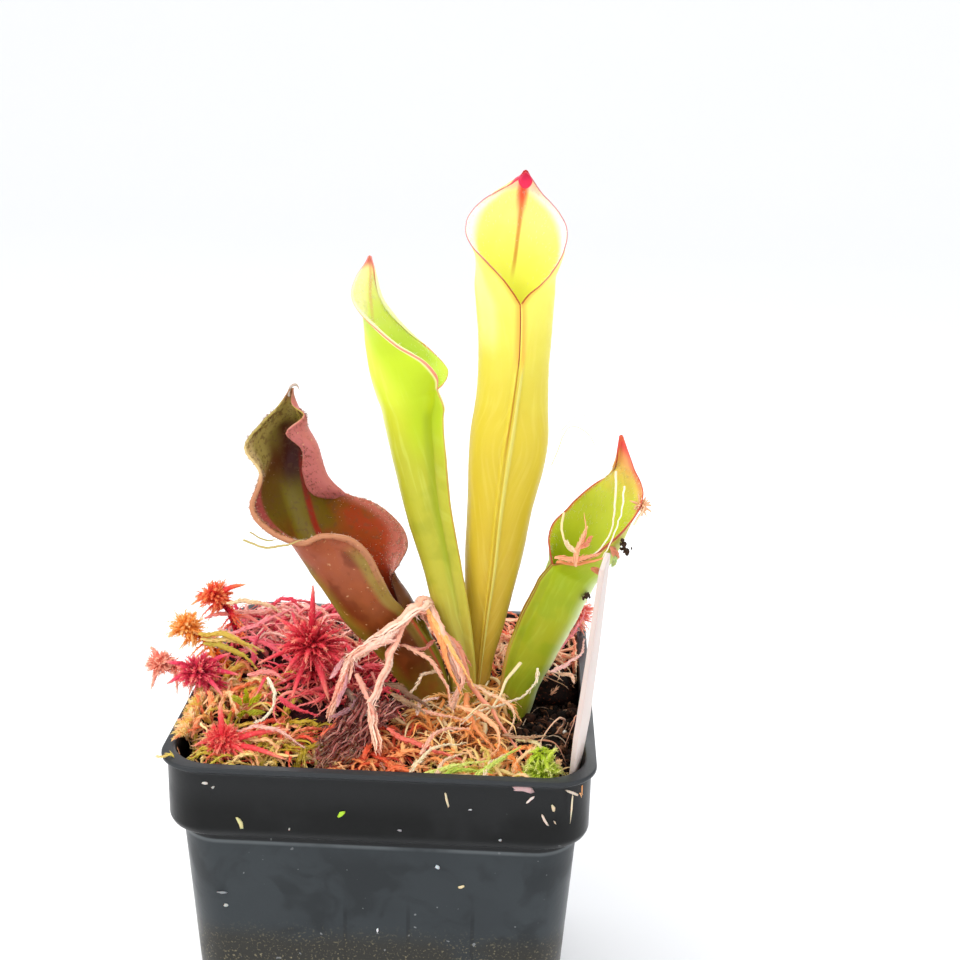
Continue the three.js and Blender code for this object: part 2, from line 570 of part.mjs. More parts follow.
// A head: a small core on a stem with pointed arms all round it, the seeded ones and the long ones.
function headBody(spec, seed, grow) {
  const rnd = random(seed);
  const [cx, cy, cz] = spec.at;
  const core = spec.reach * 0.3;
  const bodies = [knob(spec.at, [core, core, core * 0.85], grow)];
  const stemFoot = [spec.foot[0], spec.foot[1], SOIL_TOP + 3];
  const bend = [(cx * 0.55 + spec.foot[0] * 0.45), (cy + spec.foot[1]) / 2, Math.max(cz - 4, 83.8)];
  bodies.push(strand([stemFoot, bend, [cx, cy, cz + core * 0.5]], 2.3, 4, grow));
  for (let k = 0; k < spec.arms; k++) {
    const height = 1 - (1.25 * (k + 0.5)) / spec.arms;
    const turn = k * 2.39996 + rnd() * 0.5;
    const flat = Math.sqrt(1 - height * height);
    const long = spec.reach * (0.72 + 0.4 * rnd());
    const droop = 0.16 * spec.reach;
    const reach = (share, drop) => [cx + long * share * flat * Math.cos(turn),
      cy + long * share * flat * Math.sin(turn), cz + long * share * height - drop];
    bodies.push(strand([reach(0.2, 0), reach(0.62, 0), reach(1, droop)], 0.1 * spec.reach + 0.28, 3, grow));
  }
  for (const [tip, radius] of spec.longArms) {
    const middle = [(cx + tip[0]) / 2, (cy + tip[1]) / 2, (cz + tip[2]) / 2 + 0.8];
    bodies.push(strand([[cx, cy, cz], middle, tip], radius, 4, grow));
  }
  return union(bodies);
}

// The patches of the mats: each is the part of the peat nearest to its seed.
function patch(seed, others, inset) {
  const bound = COLLAR_HALF - POT_WALL - SEAT - 0.3;
  let polygon = roundedSquare(bound, CORNER - 2, 0).map(([x, y]) => [x, y]);
  for (const other of others) {
    const [nx, ny] = [other[0] - seed[0], other[1] - seed[1]];
    const size = Math.hypot(nx, ny);
    const limit = ((other[0] ** 2 + other[1] ** 2) - (seed[0] ** 2 + seed[1] ** 2)) / 2 / size - inset;
    const distance = ([x, y]) => (x * nx + y * ny) / size - limit;
    const kept = [];
    polygon.forEach((p, k) => {
      const q = polygon[(k + 1) % polygon.length];
      const [dp, dq] = [distance(p), distance(q)];
      if (dp <= 0) kept.push(p);
      if ((dp < 0 && dq > 0) || (dp > 0 && dq < 0)) {
        const share = dp / (dp - dq);
        kept.push([p[0] + (q[0] - p[0]) * share, p[1] + (q[1] - p[1]) * share]);
      }
    });
    polygon = kept;
  }
  return polygon;
}

// Even points round a closed outline.
function spaced(outline, count) {
  const lengths = outline.map((p, k) => {
    const q = outline[(k + 1) % outline.length];
    return Math.hypot(q[0] - p[0], q[1] - p[1]);
  });
  const whole = lengths.reduce((sum, length) => sum + length, 0);
  return Array.from({ length: count }, (_, k) => {
    let left = (whole * k) / count;
    let i = 0;
    while (left > lengths[i] && i < lengths.length - 1) { left -= lengths[i]; i += 1; }
    const [p, q] = [outline[i], outline[(i + 1) % outline.length]];
    const share = left / lengths[i];
    return [p[0] + (q[0] - p[0]) * share, p[1] + (q[1] - p[1]) * share];
  });
}

// A mat: a lumpy low core on its patch with strands that arch out of it and lie across it.
function matBody(name, spec, seed, grow) {
  const rnd = random(seed);
  const others = [...Object.entries(MATS).filter(([key]) => key !== name).map(([, mat]) => mat.seed), BARE_SEED];
  const even = spaced(patch(spec.seed, others, SEAT * 0.75), 12);
  const centre = even.reduce((sum, p) => [sum[0] + p[0] / 12, sum[1] + p[1] / 12], [0, 0]);
  const outline = even.map(([x, y]) => {
    const swell = 1 + (1.3 * grow) / Math.hypot(x - centre[0], y - centre[1]);
    return [centre[0] + (x - centre[0]) * swell, centre[1] + (y - centre[1]) * swell];
  });
  const crest = spec.top - CORE_DROP;
  const ring = (share, z, lump) => outline.map(([x, y]) => [centre[0] + (x - centre[0]) * share,
    centre[1] + (y - centre[1]) * share, z + lump * (rnd() - 0.5) + grow]);
  const bottom = SOIL_TOP + SEAT - grow;
  const low = outline.map(([x, y]) => [x, y, bottom]);
  const core = loft([low, ring(1, crest - 2.4, 1.2), ring(0.7, crest - 0.2, 2.6), ring(0.34, crest + 0.2, 2.6)],
    [...centre, bottom], [...centre, crest + grow]);
  const bodies = [core];
  for (let k = 0; k < spec.strands; k++) {
    const spoke = outline[Math.floor(rnd() * 12)];
    const share = 0.1 + 0.8 * rnd();
    const [x, y] = [centre[0] + (spoke[0] - centre[0]) * share, centre[1] + (spoke[1] - centre[1]) * share];
    let turn = rnd() * 2 * Math.PI;
    const reach = spec.reach * (0.55 + 0.5 * rnd());
    while (Math.max(Math.abs(x + Math.cos(turn) * reach), Math.abs(y + Math.sin(turn) * reach)) > SPAN) turn += 2.4;
    const rise = CORE_DROP * 0.4 + spec.rise * (0.2 + 0.75 * rnd());
    const [dx, dy] = [Math.cos(turn) * reach, Math.sin(turn) * reach];
    bodies.push(strand([
      [x, y, crest - 1.6],
      [x + dx * 0.25, y + dy * 0.25, crest + rise * 0.8],
      [x + dx * 0.7, y + dy * 0.7, crest + rise],
      [x + dx, y + dy, crest + rise * 0.3],
    ], 0.95 + 0.4 * rnd(), 3, grow));
  }
  return union(bodies);
}

const bundle = (spec, sides, grow) =>
  union(spec.runs.map((run, k) => strand(run, spec.radius[k], sides, grow)));

// The pieces, in the order in which each leaves room for the ones before it

const pieces = [];
function place(name, body, colour, roughness) {
  const mesh = body.getMesh();
  const geometry = new THREE.BufferGeometry();
  geometry.setAttribute('position', new THREE.BufferAttribute(new Float32Array(mesh.vertProperties), 3));
  geometry.setIndex(new THREE.BufferAttribute(new Uint32Array(mesh.triVerts), 1));
  geometry.computeVertexNormals();
  const piece = new THREE.Mesh(geometry, new THREE.MeshStandardMaterial({ color: colour, roughness, metalness: 0 }));
  piece.name = name;
  pieces.push(piece);
}

let taken = union([stemCutter(PITCHERS.pitcher_tall), stemCutter(PITCHERS.pitcher_side),
  stemCutter(PITCHERS.pitcher_old), stemCutter(PITCHERS.pitcher_small), labelBody(SEAT)]);

place('pot', potBody(0), 0x33373a, 0.45);
place('soil', largest(soilBody(0).subtract(taken)), 0x24170f, 0.95);
for (const [name, spec] of Object.entries(PITCHERS)) place(name, pitcherBody(spec, 0), spec.colour, 0.5);
place('plant_label', labelBody(0), 0xe8e2e4, 0.4);

const shells = Object.values(PITCHERS).map((spec) => pitcherBody(spec, SEAT));
taken = union([taken, potBody(SEAT), soilBody(SEAT), ...shells]);

// Places one piece of moss, made with the first of its seeds that leaves a sound body.
function placeMoss(name, spec, seed, make) {
  const body = largest(make(seed, 0).subtract(taken));
  if (!body) { placeMoss(name, spec, seed + 100, make); return; }
  place(name, body, spec.colour, 0.8);
  taken = taken.add(make(seed, SEAT));
}

placeMoss('moss_strand_dead', STRAND_DEAD, 1, (seed, grow) => bundle(STRAND_DEAD, 5, grow));
placeMoss('moss_fluff_dead', FLUFF_DEAD, 2, (seed, grow) => bundle(FLUFF_DEAD, 4, grow));
Object.entries(HEADS).forEach(([name, spec], k) => {
  placeMoss(name, spec, 21 + k, (seed, grow) => headBody(spec, seed, grow));
});
Object.entries(MATS).forEach(([name, spec], k) => {
  placeMoss(name, spec, 41 + k, (seed, grow) => matBody(name, spec, seed, grow));
});

const plant = new THREE.Group();
plant.name = 'potted_sun_pitcher';
plant.add(...pieces);

export default plant;
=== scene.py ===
import math

import bpy
import numpy as np
from bpy.props import FloatProperty, FloatVectorProperty, IntProperty, PointerProperty
from mathutils import Matrix, Vector


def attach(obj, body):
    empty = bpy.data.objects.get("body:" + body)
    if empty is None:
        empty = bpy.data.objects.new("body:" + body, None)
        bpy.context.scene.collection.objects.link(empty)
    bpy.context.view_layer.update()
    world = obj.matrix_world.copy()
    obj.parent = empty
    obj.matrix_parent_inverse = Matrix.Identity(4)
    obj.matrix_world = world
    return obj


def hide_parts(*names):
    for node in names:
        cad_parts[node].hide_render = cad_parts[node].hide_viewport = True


bl_info = {
    "name": "Potted sun pitcher",
    "version": (1, 0, 0),
    "blender": (4, 5, 0),
    "location": "View3D > Sidebar > Sun pitcher",
    "description": "Builds a sun pitcher in a square nursery pot with sphagnum, peat and a label",
    "category": "Add Mesh",
}

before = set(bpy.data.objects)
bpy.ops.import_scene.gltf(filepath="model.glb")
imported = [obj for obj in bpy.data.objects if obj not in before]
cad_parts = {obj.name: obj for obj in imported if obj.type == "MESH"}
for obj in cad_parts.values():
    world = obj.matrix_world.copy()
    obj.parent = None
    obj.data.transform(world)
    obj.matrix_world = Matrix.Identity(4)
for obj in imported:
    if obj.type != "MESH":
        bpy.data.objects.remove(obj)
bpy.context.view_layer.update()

MM = 0.001                      # the sizes below are in millimetres
TURN = 2 * math.pi
GOLDEN = math.pi * (3 - math.sqrt(5))
SOLID_GOLDEN = 2.39996          # the same angle as the solids round it

# Pot and peat, as the solids have them
LIP_HALF = 44.5
POT_HEIGHT = 82.0
LIP_THICK = 0.9
COLLAR_HALF = 43.5
COLLAR_FOOT = 66.0
WALL_TOP_HALF = 41.2
WALL_BOTTOM_HALF = 37.4
POT_WALL = 1.4
CORNER = 9.0
DRAIN_RADIUS = 4.0
DRAIN_AT = 23.0
SOIL_TOP = 73.6
MOULD_LINES = (-6.4, 6.8, 20.2)  # places across the wall of the faint lines of the mould
SEAT = 0.3


def rows(text):
    """Rows of numbers from text: the rows are parted by commas and their numbers by spaces."""
    return [tuple(float(v) for v in row.split()) for row in text.split(",")]


# Pitchers: every station is x, y, z, half width, half depth, opening angle and facing angle
FLARE_START = 0.25
FLARE_POWER = 1.7
PITCHERS = {
    "pitcher_tall": {
        "wing": 0.7, "wing_top": 6.5, "ridge": 0.952, "slit": 0.25, "closed": 8, "rim": 0.28,
        "beads": (0, 0), "hairs": 500, "spoon": ((25.6, 4.3, 194.4), (1.5, 1.0, 1.75)),
        "stations": rows(
            "18 1.6 67 1.5 1.4 180 -85, 18.8 2.5 84 2.5 2.3 180 -85, 19.8 3.5 97 4.3 4 180 -87, "
            "21.2 4 110 5.8 5.3 180 -89, 22.5 4 124 6.9 6.2 180 -92, 23.9 4 138 8.2 7.2 180 -92, "
            "24.3 4 148 7.4 6.6 180 -86, 24.5 4 159 7.3 6.7 180 -80, 24.3 4 169.6 8 7.2 180 -80, "
            "24.1 4 176 9 7.6 128 -86, 24 4.5 182.5 9.4 6.6 96 -92, 24.3 5.4 188.5 7.8 5 80 -96, "
            "24.9 6 193 3.6 2.6 70 -96, 25.6 5.8 196.2 0.5 0.4 60 -96"),
        "left": rows(
            "25.5 -3.2 170, 24.1 -3.3 172.1, 22.3 -3 174.3, 20.1 -2 176.3, 17.6 -1 178.6, "
            "15.4 0 180.7, 14 1 182.8, 13.6 2 184.9, 14.1 3 187, 15.7 4 189, 18.1 5 190.9, "
            "21.2 5.5 192.6, 23.8 5.5 194.3, 25.1 5.4 196.1"),
        "right": rows(
            "25.5 -3.2 170, 26.8 -3.3 171.8, 28.8 -3 173.5, 31.2 -2 175.7, 32.9 -1 178.1, "
            "34 0 180.4, 34.6 1 183, 34.4 2 185.4, 33.1 3 187.9, 31.1 4 190.2, 29.1 5 191.9, "
            "27.5 5.5 193.8, 26.5 5.5 195.2, 26 5.4 196.1"),
    },
    "pitcher_side": {
        "wing": 2.0, "wing_top": 6.2, "ridge": 0.93, "slit": 1.0, "closed": 7, "rim": 0.5,
        "beads": (0.12, 0), "hairs": 500,
        "stations": rows(
            "16.9 -4.4 67 1.6 1.5 180 -30, 15.1 -3.2 85 2.4 2.3 180 -30, "
            "12.1 -1.8 99 2.8 2.7 180 -25, 8.9 -0.6 112 3.3 3.1 180 -20, "
            "5.7 0.4 125 4.2 3.9 180 -20, 3.7 1 136 4.8 4.6 180 -18, 2.4 1 144 5.3 5.3 180 -15, "
            "1.9 1 149.2 5.9 6.4 180 -15, 0.2 1 155.5 5.7 6.6 138 -20, -2.6 1 162 4.6 5 110 -35, "
            "-5.6 0.8 169 2.2 2.6 95 -65, -6.2 0.6 174.5 1.2 1.2 85 -85, "
            "-6.3 0.2 178.2 0.5 0.4 80 -90"),
        "left": rows(
            "8.5 -1 149.6, 8.7 -3 152.7, 7.9 -5 155, 6 -6 157.4, 3.1 -6 159.2, -0.5 -6 161.4, "
            "-4.1 -5 164, -7 -4 166.4, -9.1 -3 168.9, -9.6 -3 171.2, -8.8 -2 173.8, -7.5 -1 176.2, "
            "-6.5 0 178.1"),
        "right": rows(
            "8.5 -1 149.6, 9.5 1 150.7, 10.1 4 152, 10 6 153.6, 8.4 6.5 155.6, 5.5 6.5 158.2, "
            "2 6 160.9, -0.9 5 163.8, -3.2 4 166.6, -4.6 3 169.5, -5.3 2 172.6, -5.6 1 175.5, "
            "-6.1 0 178.1"),
    },
    "pitcher_old": {
        "wing": 1.3, "wing_top": 3.2, "ridge": 0.93, "slit": 1.0, "closed": 4, "rim": 0.6,
        "beads": (0.38, 0.12), "hairs": 300,
        "stations": rows(
            "11.4 -2.6 67 2.2 2.3 180 -35, 8.2 -3 80.5 3.9 4.5 180 -35, 4.6 -3.6 88.5 5 6 180 -35, "
            "0.4 -4 95.5 6 6.8 180 -35, -2.8 -4.2 100 6.8 7.6 180 -35, "
            "-7.6 -4.2 106.5 7.4 7.8 148 -42, -12.6 -4 113 8 7.8 130 -55, "
            "-17.5 -3 120 8.2 8.2 120 -70, -21.4 -2 128 7.4 7.4 118 -88, "
            "-23.2 -1.5 136 5.8 6 118 -102, -23.8 -2 142.5 3.6 3.8 100 -108, "
            "-22.8 -3 149.8 0.5 0.5 90 -108"),
        "left": rows(
            "3.6 -9 102.5, 0.5 -11 106, -2.2 -12.5 111.3, -5.2 -13 117.1, -9.2 -13 120.3, "
            "-14.7 -13 120.7, -19.4 -13 119, -26.4 -11 120.7, -30.3 -9 125.1, -28.9 -6 131.6, "
            "-32 -6 137.5, -29 -4 142.4, -25.4 -3.5 146.2, -22.7 -3.2 150.3"),
        "right": rows(
            "3.6 -9 102.5, 1.2 -5 104.8, -0.6 -2 107.9, 0.7 0 111, 2 2 114.5, -0.2 4 118.5, "
            "-6.2 5 122.6, -13.3 5 123.5, -18.9 2 125.4, -20.6 0 130.8, -20.4 -2 136.4, "
            "-23.5 -4 140.6, -19.9 -3 144.2, -22.4 -3.1 146.8, -22.1 -3.2 150.3"),
    },
    "pitcher_small": {
        "wing": 1.6, "wing_top": 4.2, "ridge": 0.93, "slit": 1.0, "closed": 5, "rim": 0.34,
        "beads": (0.04, 0.04), "hairs": 500,
        "stations": rows(
            "25.9 0.6 67 2.6 2.5 180 -140, 28.2 1 82 4.3 3.8 180 -145, 31 1.5 90 5.2 4.6 180 -150, "
            "34.2 2 98 5.8 5.2 180 -152, 37 2 104 5.6 5.2 180 -155, 39.3 2 109.6 5.6 5.6 180 -155, "
            "41.8 2.3 115.5 6.4 6.6 138 -150, 44.4 2.6 121.5 6.4 6 112 -138, "
            "46.8 2.6 128 4.4 4 95 -122, 48 2.3 135 1.6 1.8 85 -110, "
            "48.2 1.4 141.2 0.5 0.4 80 -100"),
        "left": rows(
            "34.3 -0.5 112.9, 33.7 1 115.2, 33.6 3 117.1, 34.6 5 119.8, 37.5 7 122.3, "
            "40.9 7 126.2, 44.1 7 128.9, 46.3 6 130.9, 47.5 5 132.8, 47.7 3 135.5, 47.7 2 138.3, "
            "47.7 1.2 141"),
        "right": rows(
            "34.3 -0.5 112.9, 36.3 -4 114, 39.5 -5 114.4, 42.7 -6 116, 45.8 -6 118.6, "
            "49.3 -5 121.7, 52 -4 125.3, 53.2 -2.5 128.5, 52.9 -1 131, 51.4 0 134.2, 50 1 137.7, "
            "48.7 1.2 141"),
    },
}

# Sphagnum heads: seed, centre, arm length, number of arms, stem foot, slot, colours from the heart
# of the head to the tips of its arms, and the tips and half widths of its long arms
HEAD_ENTRIES = ("seed", "at", "reach", "arms", "foot", "slot", "colours", "long")
HEADS = {name: dict(zip(HEAD_ENTRIES, row)) for name, row in {
    "moss_head_star": (21, (-17.6, -10, 94), 8.5, 22, (-18, -8), "moss_crimson",
        ("780c18", "c02032", "ea4856", "f88c7c"), [((-17.2, -10, 108.5), 1.3),
         ((-12.9, -17, 84.5), 1.3), ((-29, -14, 91), 0.9), ((-21.2, -18, 84), 1.0),
         ((-26.4, -6, 99), 0.8), ((-9.2, -12, 91), 1.0)]),
    "moss_head_back": (22, (-44.6, 15, 94.5), 4.8, 14, (-37, 15), "moss_orange",
        ("c41434", "f03c44", "fa7c50", "feb868"), [((-37.2, 15, 98), 1.1),
         ((-50.2, 15, 92.4), 0.8)]),
    "moss_head_left": (23, (-49, 5, 90.6), 4.4, 14, (-38, 6), "moss_orange",
        ("f86c20", "ff9438", "feb458", "fdd490"), []),
    "moss_head_crimson": (24, (-42.8, -10, 86.4), 5.6, 13, (-37, -9), "moss_crimson",
        ("6c0c1c", "b8203c", "ec4868", "f88c84"), [((-50.6, -9, 88.4), 1.0),
         ((-49.6, -12, 84.4), 1.0), ((-36, -9, 91), 1.1), ((-33.5, -11, 86.8), 1.0),
         ((-36.2, -16, 84), 0.9)]),
    "moss_head_front": (25, (-32.6, -33, 81.5), 5.0, 12, (-32, -32), "moss_crimson",
        ("9c1428", "dc2c3c", "f65c5c", "faa080"), [((-33, -33, 91), 1.1),
         ((-39, -33, 80.6), 0.9), ((-19, -30, 84), 1.0), ((-18.4, -37, 80.5), 1.0),
         ((-27, -36.5, 81), 0.9)]),
    "moss_head_pink": (26, (-52.6, -5, 85.6), 3.6, 10, (-38, -2), "moss_peach",
        ("e86c60", "f88c7c", "fcac94", "fdd0bc"), [((-54.6, -7, 80.5), 0.8),
         ((-55, -4, 89.5), 0.8)]),
    "moss_head_lime": (27, (33.4, -36.4, 79.6), 4.6, 13, (32, -34), "moss_lime",
        ("8ca018", "b0c830", "ccdc50", "e8eca0"), [((36, -37, 86), 0.9)]),
    "moss_head_rear": (28, (41.4, 33, 86.4), 5.4, 13, (38, 33), "moss_pink",
        ("c83848", "f06468", "f89488", "fcc8a8"), []),
}.items()}

# Mats: seed, patch seed point, crest, the number, reach and rise of the solid's strands, and the
# look of the finer ones: their number, length, half width, flatness, waviness, leafiness and slot,
# and the painted shade of the cushion and of the strands' roots, and the colours of the strands
MAT_ENTRIES = ("seed", "spot", "top", "strands", "reach", "rise", "fine", "length", "half", "flat",
               "wave", "leafy", "slot", "painted_shade", "colours")
MATS = {name: dict(zip(MAT_ENTRIES, row)) for name, row in {
    "moss_mat_rear_left": (41, (-28, 24), 86, 23, 16, 5, 170, 15, 0.55, 0.35, 1.3, 0.45,
        "moss_pink", "3a0810", ("b82440", "ec5068", "fa8490", "fca8a4", "fdc0b4", "ffe4d8")),
    "moss_mat_left": (42, (-37, -12), 83, 13, 12, 4, 120, 9, 0.5, 0.5, 1.2, 0.8, "moss_peach",
        "3a160a", ("e0603c", "ff9460", "ffbc84", "ffe0b0", "e4c850", "ff9880")),
    "moss_mat_front_left": (43, (-24, -29), 81, 15, 14, 4, 150, 10, 0.5, 0.45, 1.4, 0.8,
        "moss_lime", "26200a", ("7a6e18", "c0a030", "dcc850", "f8d494", "ec5440", "f88c60")),
    "moss_mat_front": (44, (-1, -31), 80.4, 15, 13, 3.5, 150, 10, 0.5, 0.4, 1.5, 0.6,
        "moss_crimson", "280806", ("701810", "b83420", "e0583a", "f08c54", "f8b878", "cc4430")),
    "moss_mat_front_right": (45, (20, -36), 80, 14, 13, 3, 150, 11, 0.48, 0.4, 1.6, 0.35,
        "moss_lime", "2c200a", ("a08c2c", "ccb84c", "ecd484", "fcd09c", "fea45c", "f8b878")),
    "moss_mat_centre": (46, (15, -14), 81.4, 16, 12, 4.5, 150, 12, 0.45, 0.6, 2.0, 0.2,
        "moss_orange", "b87040", ("fc9858", "ffb468", "ffc87c", "ffdc98", "fff0c4", "ffbc68")),
    "moss_mat_middle": (47, (-15, -4), 85, 16, 13, 4, 150, 12, 0.55, 0.4, 1.3, 0.6, "moss_crimson",
        "340810", ("8c1426", "cc2438", "f0485c", "f87078", "fa9c8c", "e03848")),
    "moss_mat_rear": (48, (4, 28), 83.6, 14, 13, 4, 150, 13, 0.5, 0.4, 1.3, 0.5, "moss_pink",
        "4a1218", ("d04c54", "f47c70", "fba48c", "fec8a4", "fee4c4", "f8948c")),
    "moss_mat_rear_right": (49, (32, 25), 82.6, 12, 13, 4, 140, 12, 0.5, 0.4, 1.3, 0.5, "moss_pink",
        "1a0a08", ("e8684c", "ff9478", "ffb494", "ffcca8", "ffe4c4", "ffa080")),
}.items()}
LEFT_EDGE = ((-40.6, -31), (-40.6, -3))   # the line along which the left mat hangs over the lip
CORE_DROP = 3.4                 # how far a mat's cushion stays below its strands
SPAN = LIP_HALF - 4             # how far out the solid's strands lie
SPOKES = 12                     # points on the outline of a mat's patch
BARE_SPOT = (38, -14)
BARE_BOX = ((29.5, -27), (41, 1))
STRAND_HALF = 41.4              # how far out the fine strands lie inside the collar
LEFT_LIP = 41.0                 # how far left they come before they lie over the lip
LIP_LIFT = 40.4                 # how far left the lip begins to lift them
LOW_CEILING = 82.6              # their highest along the front and the back
REAR_CEILING = 36.0             # how far back the ceiling stays up

# The thick dead strand over the bases and the bundle of dead fibres before it
DEAD_RUNS = [(rows(path), *look) for path, *look in (
    ("8.6 0.6 97, 7 -5 103, 4.8 -11.6 103.6, 0.4 -14.6 100.6, -4.4 -16.4 97.4, -9.4 -17.6 94", 1.9),
    ("2.4 -13.4 102, 0.2 -17.5 95, -2.7 -23.5 86.5, -0.2 -33.6 81.8", 1.3),
    ("7 -6 103.6, 10.6 -11 99, 15.4 -14.2 90, 13.4 -17.2 84", 1.3),
    ("-8.4 -17.2 95, -10.2 -20 89, -12 -24 83.4", 0.9),
)]
FLUFF_RUNS = [(rows(path), *look) for path, *look in (
    ("-3.5 -21.5 88, -6.6 -27 83.5, -9.4 -33 81.6, -11.6 -38.6 80.4", 1.6),
    ("-7 -19 87, -8.4 -25 83.6, -13 -32 81.2", 1.1),
    ("0.4 -20.4 86, -3.6 -27.4 82.6, -6.6 -35.6 80.8", 1.2),
    ("3.8 -18.4 86.4, -1.4 -24.4 83.8, -7.4 -29.4 82", 1.2),
)]

# Litter on the pot's front: place on the wall, length, width, turn from the level, colour
LITTER = [
    ((-6.7, 72.6), 3.0, 1.1, 28, "a6cc3a"), ((-27.2, 69.5), 2.9, 1.2, -78, "c8c08a"),
    ((-34.0, 78.2), 1.5, 0.6, 10, "c4bfb8"), ((-32.4, 77.4), 0.8, 0.5, 40, "a8a6a2"),
    ((14.5, 76.8), 3.8, 0.5, -75, "ccbc9c"), ((34.2, 73.3), 2.6, 0.5, -60, "d0bcae"),
    ((39.4, 76.8), 6.6, 0.45, 88, "dccbae"), ((29.6, 80.0), 3.6, 1.9, -12, "bf9c9c"),
    ((31.1, 77.6), 1.7, 0.6, 50, "dcccc4"), ((35.7, 76.0), 2.0, 0.55, -70, "cdbc9c"),
    ((36.2, 72.9), 1.2, 0.4, -55, "c0b09c"), ((5.2, 69.6), 0.8, 0.5, 0, "8f9296"),
    ((12.7, 59.8), 1.3, 1.0, 60, "b9c0c6"), ((17.7, 55.2), 1.5, 0.5, 12, "d9c49a"),
    ((0.5, 43.5), 1.0, 0.6, 90, "d4d6d8"), ((-31.3, 48.0), 0.9, 0.6, 0, "aeb0ac"),
    ((-32.0, 51.2), 1.5, 0.5, 5, "85898c"), ((-33.6, 66.4), 1.7, 0.7, 15, "e7dfd0"),
    ((-17.2, 68.7), 0.8, 0.3, 80, "9c9c98"), ((25.4, 68.3), 1.0, 0.6, 0, "9fa3a6"),
    ((19.2, 74.8), 0.6, 0.5, 0, "b7b9ba"), ((39.4, 79.6), 2.4, 0.6, -18, "c4b8a8"),
]

# Loose fibres: points, half width and colour
FIBRES = [(rows(path), *look) for path, *look in (
    ("47.5 1.5 133, 47.3 -3.5 128, 46.6 -6.5 122, 43.6 -7.3 117.4, 40 -6.6 115.3", 0.32, "f3e2c6"),
    ("49.2 -4 131.5, 48.4 -6.2 126, 46.9 -7.2 120.5, 44.8 -7.4 115.6", 0.26, "f6e9d2"),
    ("36.6 1.5 123.2, 36.2 -2.5 120.6, 37.6 -5 117.4, 40.6 -6.2 116.2", 0.3, "f0d9a6"),
    ("35.4 -4.6 113.9, 38.6 -6.4 114.2, 42.2 -7.3 114.9, 46.4 -7.4 116.6", 0.42, "ee9c68"),
    ("38.8 -5.4 117, 40.6 -6.8 119, 41.4 -6.4 122.6, 40.9 -4 125.4", 0.3, "efa77c"),
    ("51.6 -4.6 122.8, 53.4 -3 126, 54.3 -1 127.2", 0.26, "f6d9b4"),
    ("-31.6 -12.4 119, -27 -12.9 117.8, -22.6 -13.6 118.6, -18.4 -13.9 120.2", 0.3, "b9a86a"),
    ("-30.2 -12.4 120.6, -26.4 -13.2 119.3, -24 -13.6 119.8", 0.2, "a99a5c"),
    ("36.6 -9 74.4, 38.4 -12 79.2, 36.8 -17 82.4, 33.2 -22 79.6, 33.6 -26 75", 0.32, "e2b79a"),
    ("39.8 -6 74.2, 41 -10 79.8, 40.2 -15 80.8, 38.6 -19 76.6", 0.26, "d49a84"),
    ("31 -15 74.6, 33 -18.6 77.8, 36.2 -20.4 78.2, 38.8 -23.4 75.2", 0.24, "c98f74"),
    ("28.4 -7.6 90.8, 25.4 -12 88.6, 22.6 -16.4 84, 17 -21.5 82.2", 0.5, "f0dcae"),
    ("22.6 -16.4 84, 20 -20.6 86.4, 15.8 -24.6 84.2", 0.34, "f2d7a8"),
    ("33.6 4.6 133, 37 5.4 141.6, 42.2 5.8 139, 44.8 5.2 131", 0.16, "f7ecc9"),
    ("35.4 5.2 141, 39.4 5.6 144.6, 43.6 6 141.8", 0.14, "f8f0d6"),
    ("-23 -3 148.4, -22.8 -3 150.2, -22.1 -3.2 151, -21.2 -3.4 150.9, "
     "-20.5 -3.6 149.9", 0.42, "b0a294"),
)]

